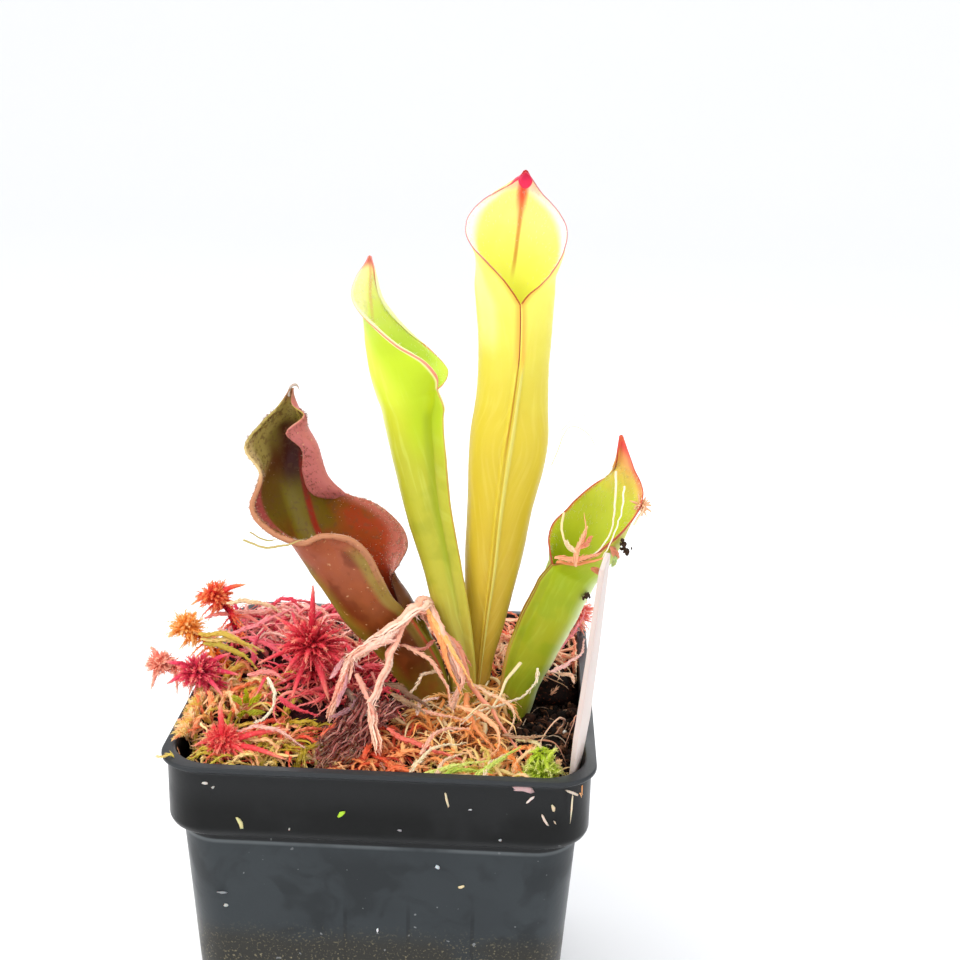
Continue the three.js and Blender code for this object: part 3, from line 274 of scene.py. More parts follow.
# Loose strands of moss that lie over the mats, placed from the photograph: points, half width
# and colour
STRANDS = [(rows(path), *look) for path, *look in (
    ("4.1 -5 102.1, 9.8 -7 98.4, 15.2 -9 93.2, 17.4 -12 87.2, 21.9 -16 84.1, "
     "26.5 -24 80.9, 29.9 -31 79.8, 31.6 -37 79.8", 1.0, "f4a488"),
    ("2.6 -14 96.7, 8.8 -15 94.1, 12.4 -17 89.3, 13.9 -20 85.7", 0.55, "f2b498"),
    ("32.1 -8 90.1, 31.4 -10 86.8, 26.6 -14 84.4, 20.6 -18 84.2, 15.6 -24 83.3", 0.5, "f8e2c4"),
    ("9.3 -9 96.3, 6.5 -12 95.2, 1.9 -14 96.6", 0.5, "ee9c8c"),
    ("11.3 -12 89.9, 7.5 -15 90.7, 4.6 -17 86.7, 0.4 -19 86", 0.42, "f4d6b8"),
    ("17.6 -12 87.2, 23.8 -15 85.9, 27.3 -19 84.3, 26.5 -24 81.7", 0.5, "f8cca8"),
    ("15.2 -19 85.2, 20.7 -22 84.8, 24.2 -27 83.1, 23.4 -31 80.8, 19.4 -35 80.6", 0.8, "f8b98c"),
    ("27.9 -23 80.1, 32.1 -27 81.3, 35.4 -32 80.5, 37.6 -37 79.8", 0.5, "ecdca8"),
    ("6.4 -40 79.9, 8.6 -36 81.4, 12.1 -32 82.3, 17.8 -29 81.7", 0.5, "f6e0ba"),
    ("0.6 -27 83.4, 6.1 -29 81.8, 12.2 -32 81.2, 16.8 -35 81.2", 0.7, "e87464"),
    ("-24.4 -26 93.7, -22.5 -28 90.8, -23.1 -30 87.5, -26 -32 86.2", 0.45, "f4e4c8"),
    ("-30.4 -30 83.2, -24.7 -32 85.5, -19.2 -34 84.7, -15 -36 83.1", 0.6, "ecb4a4"),
    ("9.6 -40 80.8, 15.7 -38 81.4, 22 -36 82", 0.6, "dce07c"),
    ("19.7 -41 81.1, 24.5 -37 82.7, 28.9 -33 83.6", 0.6, "ccd668"),
    ("13.4 -41 80.8, 17 -39 81.3, 23.4 -40 81.4", 0.6, "b8c850"),
    ("23.6 -27 80.9, 27.7 -32 80.1, 29.7 -38 79.9", 0.7, "f4964e"),
    ("17 -14 85.9, 18 -19 83.1, 20.9 -25 81.2, 25.1 -31 79.8", 0.8, "f6a068"),
    ("-46.4 12 90, -42.4 14 90.9, -36.8 16 89.1, -31.3 14 86.6, -28 8 83.7", 0.8, "f49088"),
    ("-38.9 8 88.8, -33.9 9 90.2, -28.8 9 92.7, -24.2 8 94.9", 0.9, "f49298"),
    ("-34.4 4 89.1, -29.9 3 88.2, -23.7 0 85.1, -20.2 -4 81.7", 0.8, "ec6878"),
    ("-39.9 18 89.8, -34.6 20 89.2, -29.6 22 89.8, -25.8 22 88.3", 0.8, "f6b0a8"),
    ("-42.6 8 89.4, -37.8 6 88.1, -32.7 2 85.4, -29.4 -4 83.6", 0.8, "f4b0a0"),
    ("-32.2 -4 86.6, -32.6 2 88.5, -31.2 6 90.8", 0.8, "e05068"),
    ("-23 -20 86.2, -20 -22 85.1, -14 -26 85.2", 0.7, "e4505e"),
    ("-30.9 -14 88.2, -26.7 -14 89.1, -22.5 -15 88.3", 0.7, "f49890"),
    ("34.7 -2 86.7, 37.9 0 87.1, 41.9 4 88.6, 43 8 90.7", 0.45, "fbc4bc"),
    ("34.1 6 87.3, 38.3 8 89, 41.1 10 92.9, 43.2 12 96.1", 0.6, "f08e96"),
    ("36.9 0 85.5, 39.7 -2 85.8, 40.4 -3 84.7", 0.35, "f4c4a8"),
    ("-12.2 -20 91.1, -10.4 -18 93.1, -8.6 -17 93.9, -5.7 -18 93", 0.6, "e0a0a0"),
    ("-10.3 -24 86.5, -8.7 -21 90.2, -8.8 -18 92.5", 0.45, "d8989c"),
    ("-7.1 -18 91.8, -4.7 -21 89, -3 -24 86.9, -1.2 -28 82.4, 0 -33 79.8, "
     "1.5 -38 79.8", 0.8, "eca894"),
    ("-8.2 -25 84.9, -4.9 -25 85.1, -3 -24 86.9", 0.35, "f0d8cc"),
    ("-11.4 -26 85.3, -7.7 -24 85.9, -5.4 -21 87.5, -2.4 -18 89.1", 0.5, "a87478"),
    ("24.9 -24 81.6, 29.5 -26 82.1, 34.1 -24 82", 0.4, "c8a080"),
    ("6.1 -8 101.2, 10.9 -8 97.8, 15.3 -10 92.1, 16.2 -12 88.6", 0.8, "f6b8a4"),
    ("8 -6 99, 13.7 -7 95.2, 17.5 -9 90.3", 0.5, "f49c84"),
    ("6.4 -22 84.1, 7.2 -20 86.1, 10.8 -18 86.8", 0.3, "e8c0b0"),
    ("3.1 -19 86.9, 7.3 -21 85.1, 12.2 -23 84.9, 17.5 -24 84.9", 0.45, "f0b49a"),
    ("8.4 -33 81.2, 10 -29 82.7, 13 -26 83.5, 18.2 -25 83.2", 0.5, "f4b8a0"),
    ("12.2 -42 80.6, 13.1 -37 81.4, 16.7 -33 81.6", 0.4, "f0c8a8"),
    ("21.6 -42 81, 22.6 -37 81.9, 26.3 -32 81.5", 0.45, "f6d4b0"),
    ("-45.2 2 90.6, -39.2 -2 92.4, -33.7 -6 92.6, -29.7 -9 91", 1.0, "c8a848"),
    ("-43.6 0 89.4, -38.2 -4 90.2, -32.6 -8 89.8, -29 -11 87.6", 1.0, "b8a040"),
    ("-44.6 1 90, -38.8 -2 91, -33 -5 91.6, -28.6 -7 90.6", 0.8, "e0c074"),
    ("-41 12 94.2, -36.4 13 94.8, -31.6 14 93.2, -27 15 90.4", 0.8, "f8d8b0"),
    ("-30.4 -19 84, -30.2 -20 87.8", 1.0, "c0c424"),
    ("-29.4 -20 84, -27.2 -21 87", 0.9, "b8b824"),
    ("-31.4 -20 84, -33 -21 86.6", 0.9, "ccc840"),
    ("-30.4 -21 83, -31 -25 84", 0.9, "a8a01c"),
    ("-29.4 -21 83, -26 -24 84.6", 0.9, "b4b030"),
    ("-9.8 -19 87.4, -8.2 -21 88.4, -6.2 -22 86.4, -3.8 -23 84", 0.9, "8a6a5c"),
    ("-9 -20 85.4, -7 -23 86, -4.8 -24 83.6", 0.8, "9c7468"),
    ("-0.5 -19 89.8, 3 -20 89.6, 6.4 -21 87.6, 9.3 -22 86", 0.9, "7c5c48"),
    ("1 -20 88, 4.5 -22 87.6, 8.2 -23 85", 0.8, "a07c60"),
    ("-8.4 -16.5 94.4, -4.9 -17 97, -1 -17 98.6, 1.9 -16 98.6", 1.5, "fcc4b0"),
    ("-3.6 -16.5 98, -0.6 -17 99.4, 2.3 -16 101", 1.3, "fdd0bc"),
    ("7.4 -9 103.6, 12 -12.6 98, 15.2 -14.6 93.4, 18.5 -16.6 88.6", 0.9, "fcc078"),
    ("8.2 -10 102.6, 11.7 -13.6 96, 13.6 -15.6 91.4, 15.9 -17.6 88", 0.9, "fca468"),
    ("39.1 -8.4 114.3, 39.2 -8.5 116.6, 40 -8.2 119.2, 40.6 -7.6 121.3, "
     "41.3 -7 122.8", 0.75, "f4b890"),
    ("34.8 -6.6 115.5, 37.3 -7.8 115.5, 39.8 -8.3 115.9, 42.2 -7.9 116.7, "
     "44.7 -6.9 117", 0.85, "f4a880"),
    ("39.5 -8.4 117.4, 38 -8 118.7, 37.1 -7.6 119.7", 0.5, "f6d8b0"),
    ("39.9 -8.2 118.7, 41.4 -7.8 119.4, 42.2 -7.4 120.7", 0.6, "e89070"),
    ("46.9 -5 118.2, 47.9 -5.1 116.9, 48.6 -4.9 115.7", 1.1, "e09070"),
    ("48.1 -5 116.3, 47.8 -5.1 114.9, 47.4 -5.1 113.7", 0.7, "b4c47c"),
    ("42.7 -8.2 113.9, 43.8 -8.2 113.5, 44.7 -8 113", 0.9, "c47c54"),
)]

WHITE_GRAINS = ((36.6, -16, 74.8), (38.7, -8.5, 74.9), (34.6, -24.6, 75), (40.2, -20.4, 75.1))

# The small peach star of dead moss that hangs on the rim of the small pitcher
STAR = {"at": (53.2, -1.6, 126.6), "reach": 3.6, "colour": "f2c098"}
CRUMB_SPOTS = [((42.1, -3.4, 106), 1.1), ((50.0, -5, 117.6), 1.3), ((49.4, -5.8, 119), 0.8)]

# Leaves: slot, finish, how much light passes in, hair colour, colours along both skins from foot
# to tip, and layers of colour over them in words: a hex colour, its strength, and gates, each a
# field and the two values between which it opens, or the name of one of these:
GATES = {"outside": "skin 0.6 0.2", "inside": "skin 0.4 0.6", "brim": "skin 0.03 0.2 skin 0.97 0.8"}
LEAVES = {
    "pitcher_tall": {
        "slot": "pitcher_yellow", "finish": "leaf, living, yellow", "glow": 0.5, "hair": "fffbe0",
        "outer": ("0 c89a50, 0.1 ccaa40, 0.3 d2b936, 0.45 d4c03c, 0.54 dcd050, 0.62 e6e064, 0.8 "
                  "eee878, 1 f4ea90"),
        "inner": ("0 c8b23a, 0.5 eeec64, 0.64 fafa74, 0.78 fdfc88, 1 fdf6b0"),
        "layers": [
            "efe07a 0.15 streaks 0.5 0.7 outside",
            "c8a03a 0.25 patches 0.5 0.7 along 0.45 0.2",
            # painted highlight on the outside, left of the middle
            "faf4a6 0.5 turn -0.84 -0.74 turn -0.52 -0.64 along 0.52 0.58 outside",
            # painted light: the inside near-white near the edges low in the mouth, as light showing
            # through the thin wall
            "fffefa 1 edge 6.2 1.4 mouth 0.12 0.45 inside",
            "fbdcd2 0.8 edge 3 1 mouth 0.6 0.8 inside",
            "fcd0c0 0.7 mouth 0.74 0.82 inside",
            "f3a878 0.7 rib -1.6 -0.1 rib 1.8 0.3 mouth 0.3 0.65 inside",
            "d08c40 0.8 rib -0.55 -0.05 rib 0.75 0.25 mouth 0.04 0.3 inside",
            "f0483c 0.85 rib -1.8 -0.1 rib 2 0.3 mouth 0.56 0.76 inside",
            "f2a24e 0.55 edge 1.1 0.2 mouth 0.16 0 along 0.55 0.6 outside",
            "f0983e 0.6 seam 0.93 0.985 outside along 0.5 0.54",
            "8e2c14 0.95 seam 0.986 0.994 outside along 0.5 0.53",
            "d8d070 0.8 turn 0.95 0.962 outside along 0.525 0.5",
            "c08a1e 0.9 seam 0.98 0.99 outside along 0.525 0.51 along 0.35 0.42",
            "9c4020 0.9 brim mouth 0.3 0.1",
            "b4566a 0.9 brim mouth 0.1 0.3",
            "d82850 1 mouth 0.86 0.9",
            "a81438 0.8 mouth 0.93 0.99 patches 0.35 0.5",
        ],
    },
    "pitcher_side": {
        "slot": "pitcher_lime", "finish": "leaf, living, lime", "glow": 0.4, "hair": "fdffe0",
        "outer": ("0 b8a04c, 0.12 bcb048, 0.25 bcb83c, 0.4 b8b832, 0.5 c4c82c, 0.58 ccd836, "
                  "0.75 d4e650, 1 e6ec88"),
        "inner": ("0 98a62c, 0.4 acc42c, 0.58 c2de40, 0.75 d4ea64, 0.92 ecec98, 1 efc8a8"),
        "layers": [
            "dcea74 0.2 streaks 0.5 0.7 outside",
            "8c9424 0.3 patches 0.52 0.68 along 0.5 0.3 outside",
            "b4cc18 0.85 turn -0.42 -0.72 along 0.36 0.5 outside",
            "98ac1c 0.6 turn -0.72 -0.84 turn -0.93 -0.9 along 0.14 0.3 along 0.56 0.5 outside",
            # painted light: the outside pale along the left edge, as light showing through it
            "f6fac4 0.8 turn -0.34 -0.1 along 0.3 0.5 outside",
            "f4f4b0 0.8 rib -0.2 -2 inside mouth 0.1 0.3",
            "dce46c 0.45 turn -0.95 -0.98 outside along 0.3 0.46",
            "f6f2b4 0.9 edge 1 0.4 turn 0.1 -0.1 mouth 0 0.04",
            "e08a58 0.95 edge 0.3 0.08 skin 0.4 0.2 turn 0.1 -0.1 mouth 0 0.03",
            "d8806c 0.8 brim turn -0.1 0.1",
            "e2a070 0.5 rib -0.7 -0.1 rib 0.8 0.2 inside mouth 0.3 0.7",
            "e08874 0.9 turn -0.975 -0.992 outside along 0.1 0.3",
            "dc7078 0.9 mouth 0.86 0.96",
        ],
    },
    "pitcher_old": {
        "slot": "pitcher_red", "finish": "leaf, dying back, red brown", "glow": 0.15, "hair":
        "a06a4c",
        "outer": ("0 8a7c26, 0.12 8e7226, 0.2 6c3812, 0.34 743a14, 0.44 84421c, 0.6 a65c44, 0.8 "
                  "b88860, 1 948a70"),
        "inner": ("0 4a160c, 0.36 6a2414, 0.5 a0401c, 0.6 8c4a18, 0.7 705a16, 0.8 5e3418, 0.9 "
                  "8c8038, 1 9a8c60"),
        "layers": [
            "9c5028 0.4 patches 0.5 0.62 outside",
            "5c220e 0.5 patches 0.48 0.36 outside",
            "8e8a24 0.9 turn -0.66 -0.42 along 0.66 0.52 outside",
            "94803a 0.8 turn -0.895 -0.95 along 0.56 0.5 outside",
            "c05030 0.8 turn -0.955 -0.98 along 0.37 0.33 outside",
            "541410 0.9 turn 0.66 0.82 along 0.24 0.34 outside",
            "c4706a 0.95 turn 0.1 0.3 mouth 0.34 0.46 outside",
            "746212 0.75 rib -1 1.4 rib 9 6 mouth 0.28 0.42 mouth 0.76 0.66 patches 0.36 0.52 "
            "inside",
            "847618 0.8 rib 0 -1.4 rib -7 -5 mouth 0.3 0.4 mouth 0.62 0.55 inside",
            "480f0e 0.9 rib 3.6 1 rib -6 -3 mouth 0.54 0.66 mouth 0.88 0.8 inside",
            "a02410 0.9 rib -1.1 -0.3 rib 1.1 0.3 mouth 0.22 0.34 mouth 0.72 0.6 inside",
            "b44c50 0.9 edge 6.8 4.6 turn 0 -0.2 mouth 0.32 0.42 mouth 0.74 0.64 patches 0.34 "
            "0.46 inside",
            "a43c1e 0.8 turn 0.2 0.45 edge 2.4 4.4 mouth 0.04 0.14 mouth 0.52 0.42 patches 0.36 "
            "0.5 inside",
            "b86454 0.95 edge 5.2 1.8 turn -0.1 0.1 mouth 0.02 0.1 skin 0.2 0.3",
            "d49484 0.6 edge 1.8 0.3 turn -0.1 0.1 mouth 0.1 0.2 streaks 0.4 0.55 skin 0.2 0.3",
            "a2904c 0.95 edge 8.5 5 turn 0.05 -0.1 mouth 0.63 0.7 skin 0.1 0.3",
            "74602e 0.6 edge 8.5 5 turn 0.05 -0.1 mouth 0.63 0.7 specks 0.52 0.6 skin 0.1 0.3",
            "d8bc88 0.9 edge 3.2 0.8 turn 0.1 -0.1 mouth 0.6 0.66 mouth 0.82 0.74",
            "d0a478 0.95 edge 1.5 0.8 turn 0.1 -0.1 mouth 0.1 0.2 mouth 0.72 0.66 skin 0.1 0.3",
            "b07454 0.9 edge 1.1 0.5 turn 0.1 -0.1 mouth 0.1 0.2 mouth 0.72 0.66",
            "b0a848 0.85 mouth 0.8 0.86 mouth 0.96 0.92 turn 0.1 0.3 inside",
            "342018 0.85 skin 0.03 0.2 skin 0.8 0.55 turn -0.1 0.1 mouth 0.5 0.42",
            "9c6a52 0.85 mouth 0.93 0.98",
            "6c4a30 0.4 specks 0.56 0.64 inside",
            "dcb080 0.5 specks 0.33 0.29 outside along 0.12 0.3",
        ],
    },
    "pitcher_small": {
        "slot": "pitcher_green", "finish": "leaf, living, green", "glow": 0.35, "hair": "f8f4c8",
        "outer": ("0 8c8420, 0.12 98a024, 0.28 a0a41e, 0.42 9ca81c, 0.52 9cb01c, 0.62 acb828, "
                  "0.8 c0b040, 1 d07050"),
        "inner": ("0 7a9a1c, 0.4 a0b41c, 0.52 b4c424, 0.64 c4d038, 0.78 cfd850, 0.88 e8b868, 1 "
                  "e07060"),
        "layers": [
            "b8cc48 0.2 streaks 0.5 0.7",
            "7c9a14 0.35 patches 0.5 0.65 along 0.6 0.3",
            "ec9a70 0.8 edge 2.6 0.6 turn 0 0.2 mouth 0.45 0.7",
            "e07a66 0.8 edge 2.2 0.5 turn 0.1 0.3 mouth 0.62 0.8",
            "e88a60 0.55 edge 1.2 0.2 mouth 0.02 0.1",
            # painted highlight: a pale band down the right side of the outside
            "d6e2b4 0.75 turn 0.54 0.26 turn -0.08 0.16 along 0.74 0.4 outside",
            "bc4038 0.9 brim",
            "8c4030 0.8 seam 0.955 0.98 outside along 0.16 0.3",
            "d8885c 0.7 seam 0.955 0.98 outside along 0.26 0.16",
            "dc4c58 0.9 mouth 0.84 0.94",
        ],
    },
}

# Label: half width, length, where its point begins, corner radius, half thickness, and its place:
# the foot and the turns about the three axes in degrees
LABEL_HALF, LABEL_LENGTH, LABEL_POINT, LABEL_CORNER, LABEL_THICK = 6.0, 60.0, 24.0, 1.5, 0.55
LABEL_AT = (38.7, -34.6, 66)
LABEL_TURNS = ((5.7, "Y"), (1.1, "X"), (76, "Z"))

# Camera and stage
CAMERA_AT = (27.106, -289.771, 218.533)
CAMERA_YAW = 1.8                # degrees to the right of straight ahead
CAMERA_PITCH = 16.9             # degrees down
CAMERA_ROLL = 1.57
LENS = 52.125                   # on a 36 mm sensor


def linear(hexa):
    """An sRGB hex colour as linear red, green, blue and alpha."""
    srgb = np.array([int(hexa[k:k + 2], 16) / 255 for k in (0, 2, 4)])
    rgb = np.where(srgb <= 0.04045, srgb / 12.92, ((srgb + 0.055) / 1.055) ** 2.4)
    return (*(float(v) for v in rgb), 1.0)


def unit(v):
    """Vectors at length one."""
    return v / np.maximum(np.linalg.norm(v, axis=-1, keepdims=True), 1e-12)


def smooth(x):
    """The S curve 3x^2 - 2x^3 from 0 to 1."""
    x = np.clip(x, 0, 1)
    return x * x * (3 - 2 * x)


def spline(rows, t):
    """The Catmull-Rom curve through rows of numbers at the row numbers t, ends carried on straight.

    Any leading axes of rows are kept, so that many curves are worked out at once."""
    rows = np.asarray(rows, float)
    first = 2 * rows[..., :1, :] - rows[..., 1:2, :]
    last = 2 * rows[..., -1:, :] - rows[..., -2:-1, :]
    rows = np.concatenate([first, rows, last], axis=-2)
    t = np.atleast_1d(np.asarray(t, float))
    i = np.clip(np.floor(t).astype(int), 0, rows.shape[-2] - 4)
    f = (t - i)[:, None]
    p0, p1, p2, p3 = (rows[..., i + k, :] for k in range(4))
    return 0.5 * (2 * p1 + (p2 - p0) * f + (2 * p0 - 5 * p1 + 4 * p2 - p3) * f ** 2
                  + (3 * p1 - p0 - 3 * p2 + p3) * f ** 3)


def draws(seed):
    """The seeded numbers from 0 to 1 that the solids use: a 32-bit counter stirred by products."""
    mask, state = 0xFFFFFFFF, seed
    while True:
        state = (state + 0x6D2B79F5) & mask
        t = ((state ^ (state >> 15)) * (1 | state)) & mask
        t ^= (t + (t ^ (t >> 7)) * (61 | t)) & mask
        yield ((t ^ (t >> 14)) & mask) / 4294967296


def ripple(points, seed, size, octaves=3):
    """Smooth noise from -1 to 1: sines along seeded directions, each octave half as long and
    high."""
    rng = np.random.default_rng(seed)
    total, height = np.zeros(points.shape[:-1]), 0.0
    for octave in range(octaves):
        share = 0.5 ** octave
        for _ in range(4):
            way = unit(rng.normal(size=points.shape[-1])) * 2 * math.pi / (size * share)
            total += share * np.sin(points @ way + rng.uniform(0, 2 * math.pi))
            height += share * 0.6
    return total / height


def grid_faces(rows, columns, closed=False):
    """The quads of a grid of points, rows by columns; closed joins the last column to the first."""
    index = np.arange(rows * columns).reshape(rows, columns)
    if closed:
        index = np.concatenate([index, index[:, :1]], axis=1)
    corners = (index[:-1, :-1], index[:-1, 1:], index[1:, 1:], index[1:, :-1])
    return np.stack(corners, axis=-1).reshape(-1, 4)


def capped(rings, low, high):
    """A stack of rings closed by a point at each end: its points, the quads between the rings, and
    the triangles that join the low point to the first ring and the high one to the last."""
    rows, around = rings.shape[:2]
    k = np.arange(around)
    ahead, last, size = (k + 1) % around, (rows - 1) * around, rows * around
    fans = [np.stack([np.full(around, size), ahead, k], -1),
            np.stack([np.full(around, size + 1), last + k, last + ahead], -1)]
    points = np.concatenate([rings.reshape(-1, 3), [low, high]])
    return points, grid_faces(rows, around, True), np.concatenate(fans)


def level(outline, height):
    """The points of a flat outline at a height."""
    return np.column_stack([outline, np.full(len(outline), height)])


def run_along(path, steps):
    """The curve through the points of one path, as a stack of one."""
    return spline(np.array([path], float), np.linspace(0, len(path) - 1, steps))


def waved(paths, seed, size, far):
    """Paths moved off their lines by smooth noise, up to far along each axis."""
    return paths + np.stack([ripple(paths, seed + k, size) for k in range(3)], -1) * far


def chunk(points, quads=(), triangles=(), rounded=True, **fields):
    """Points, faces and the numbers stored on the points, to be joined into one mesh. The faces are
    shaded as one rounded form or, for small leaves, as the facets that they are."""
    points = np.asarray(points, float).reshape(-1, 3)
    return {
        "points": points, "rounded": rounded,
        "quads": np.asarray(quads, int).reshape(-1, 4),
        "triangles": np.asarray(triangles, int).reshape(-1, 3),
        "fields": {k: np.broadcast_to(np.ravel(v), len(points)) for k, v in fields.items()},
    }


def surface(name, chunks, slot, node=None, material=None):
    """One mesh object from chunks with the same fields, riding on the pot. The slot is not used."""
    starts = np.cumsum([0] + [len(c["points"]) for c in chunks])
    points = np.concatenate([c["points"] for c in chunks]) * MM
    quads = np.concatenate([c["quads"] + s for c, s in zip(chunks, starts)])
    triangles = np.concatenate([c["triangles"] + s for c, s in zip(chunks, starts)])
    corners = np.concatenate([quads.ravel(), triangles.ravel()])
    first = np.concatenate([4 * np.arange(len(quads)),
                            4 * len(quads) + 3 * np.arange(len(triangles))])
    mesh = bpy.data.meshes.new(name)
    mesh.vertices.add(len(points))
    mesh.vertices.foreach_set("co", points.astype(np.float32).ravel())
    mesh.loops.add(len(corners))
    mesh.loops.foreach_set("vertex_index", corners.astype(np.int32))
    mesh.polygons.add(len(first))
    mesh.polygons.foreach_set("loop_start", first.astype(np.int32))
    rounded = [np.full(len(c[kind]), c["rounded"]) for kind in ("quads", "triangles")
               for c in chunks]
    mesh.polygons.foreach_set("use_smooth", np.concatenate(rounded))
    for key in chunks[0]["fields"]:
        values = np.concatenate([c["fields"][key] for c in chunks]).astype(np.float32)
        mesh.attributes.new(key, "FLOAT", "POINT").data.foreach_set("value", values)
    mesh.update(calc_edges=True)
    mesh.validate()
    thing = bpy.data.objects.new(name, mesh)
    bpy.context.collection.objects.link(thing)
    if material:
        mesh.materials.append(material)
    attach(thing, "root")
    if node:
        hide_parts(node)
    return thing


def frames(paths, twist=0.0):
    """Along, side and up directions of each path point: side starts level and is kept square to the
    path, then turned about it by the twist, which grows evenly from root to tip."""
    along = unit(np.gradient(paths, axis=1))
    lead = paths[:, -1] - paths[:, 0] + np.array([0.013, 0.007, 0])
    side = np.cross(lead, [0, 0, 1])[:, None]
    side = unit(side - along * (side * along).sum(-1, keepdims=True))
    up = np.cross(along, side)
    angle = np.broadcast_to(twist, len(paths))[:, None, None]
    angle = angle * np.linspace(0, 1, paths.shape[1])[None, :, None]
    cos, sin = np.cos(angle), np.sin(angle)
    return along, side * cos + up * sin, up * cos - side * sin


def tubes(paths, radii, sides=5, flat=1.0, twist=0.0, tint=0.5):
    """Many strands at once: at each path point a ring of points radius wide across and flat times
    that deep, closed by a point at the root and at the tip."""
    count, steps = paths.shape[:2]
    along, side, up = frames(paths, twist)
    angle = np.arange(sides) * 2 * math.pi / sides
    flat = np.broadcast_to(flat, count)[:, None, None, None]
    cos, sin = np.cos(angle)[:, None], np.sin(angle)[:, None]
    ring = side[:, :, None] * cos + up[:, :, None] * flat * sin
    points = paths[:, :, None] + ring * radii[:, :, None, None]
    share = np.broadcast_to(np.linspace(0, 1, steps)[None, :, None], (count, steps, sides))
    tint = np.broadcast_to(tint, count)
    body = grid_faces(steps, sides, True) + (np.arange(count) * steps * sides)[:, None, None]
    roots = paths[:, 0] - along[:, 0] * radii[:, :1] * 0.3
    tips = paths[:, -1] + along[:, -1] * radii[:, -1:] * 0.8
    base = count * steps * sides
    k = np.arange(sides)
    first = np.arange(count)[:, None] * steps * sides
    last = first + (steps - 1) * sides
    root, tip = base + np.arange(count)[:, None], base + count + np.arange(count)[:, None]
    ahead = (k + 1) % sides
    caps = [np.stack(np.broadcast_arrays(root, first + ahead, first + k), -1).reshape(-1, 3),
            np.stack(np.broadcast_arrays(tip, last + k, last + ahead), -1).reshape(-1, 3)]
    return chunk(
        np.concatenate([points.reshape(-1, 3), roots, tips]), body, np.concatenate(caps),
        share=np.concatenate([share.ravel(), np.zeros(count), np.ones(count)]),
        tint=np.concatenate([np.repeat(tint, steps * sides), tint, tint]))


def leaflets(paths, radii, each, length, lean, rng, flat=1.0, twist=0.0, tint=0.5, wide=0.2):
    """Small pointed leaves in a golden-angle spiral up each strand. A leaf is a thin tetrahedron:
    two root corners, a keel and a tip that leans off the strand."""
    count, steps = paths.shape[:2]
    along, side, up = frames(paths, twist)
    share = (np.arange(each) + 0.5) / each * 0.96 + 0.02
    at = share * (steps - 1)
    i = np.minimum(at.astype(int), steps - 2)
    f = (at - i)[None, :, None]
    pick = [field[:, i] * (1 - f) + field[:, i + 1] * f for field in (paths, along, side, up)]
    point, ahead, across, above = pick
    radius = (radii[:, i] * (1 - f[..., 0]) + radii[:, i + 1] * f[..., 0])[..., None]
    angle = np.arange(each)[None, :] * GOLDEN + rng.uniform(0, 6.28, (count, 1))
    cos, sin = np.cos(angle)[..., None], np.sin(angle)[..., None]
    out = unit(across * cos + above * sin)
    beside = unit(above * cos - across * sin) * wide
    flat = np.broadcast_to(flat, count)[:, None, None]
    root = point + (across * cos + above * flat * sin) * radius * 0.75
    size = length * (0.75 + 0.5 * rng.random((count, each, 1)))
    size = size * (1.05 - 0.45 * share[None, :, None])
    tilt = np.radians(lean * (0.7 + 0.6 * rng.random((count, each, 1))))
    tip = root + (ahead * np.cos(tilt) + out * np.sin(tilt)) * size
    keel = root + (ahead * np.cos(tilt) + out * np.sin(tilt)) * size * 0.42 + out * size * 0.16
    points = np.stack([root + beside * size, root - beside * size, keel, tip], axis=2)
    corners = np.array([(0, 3, 2), (1, 2, 3), (0, 2, 1), (0, 1, 3)])
    triangles = (4 * np.arange(count * each)[:, None, None] + corners).reshape(-1, 3)
    shares = np.stack([np.broadcast_to(share, (count, each))] * 4, -1) + np.array([0, 0, 0.06, 0.2])
    tints = np.broadcast_to(tint, count)[:, None, None] + np.zeros((count, each, 4))
    return chunk(points, (), triangles, False, share=np.clip(shares, 0, 1), tint=tints)


def blobs(centres, sizes, seed, tint=0.5):
    """Small rough lumps: at each centre a seven-sided ball of three rings, its points moved in and
    out."""
    rng = np.random.default_rng(seed)
    count = len(centres)
    lift = np.radians([-38, 8, 48])[:, None]
    angle = np.arange(7) * TURN / 7
    ball = np.stack([np.cos(lift) * np.cos(angle), np.cos(lift) * np.sin(angle),
                     np.sin(lift) + 0 * angle], -1)
    ball, quads, fans = capped(ball, (0, 0, -1), (0, 0, 1))
    rough = 0.72 + 0.56 * rng.random((count, len(ball), 1))
    stretch = 0.6 + 0.8 * rng.random((count, 1, 3))
    lumps = ball * rough * stretch * np.asarray(sizes)[:, None, None]
    step = (np.arange(count) * len(ball))[:, None, None]
    return chunk(np.asarray(centres)[:, None] + lumps, quads + step, fans + step, share=0.5,
                 tint=np.repeat(np.broadcast_to(tint, count), len(ball)))


def node(tree, kind, inputs=None, **settings):
    """Adds a shader node and gives its outputs. Inputs are numbers, colours or sockets by the
    input's name or number. Settings are its own values, with a ramp's stops as (place, hex)."""
    made = tree.nodes.new("ShaderNode" + kind)
    for key, value in settings.items():
        if key == "stops":
            ramp = made.color_ramp
            while len(ramp.elements) < len(value):
                ramp.elements.new(0.5)
            for element, (place, hexa) in zip(ramp.elements, value):
                element.position, element.color = place, linear(hexa)
        else:
            setattr(made, key, value)
    for key, value in (inputs or {}).items():
        if isinstance(value, bpy.types.NodeSocket):
            tree.links.new(value, made.inputs[key])
        else:
            made.inputs[key].default_value = value
    return made.outputs


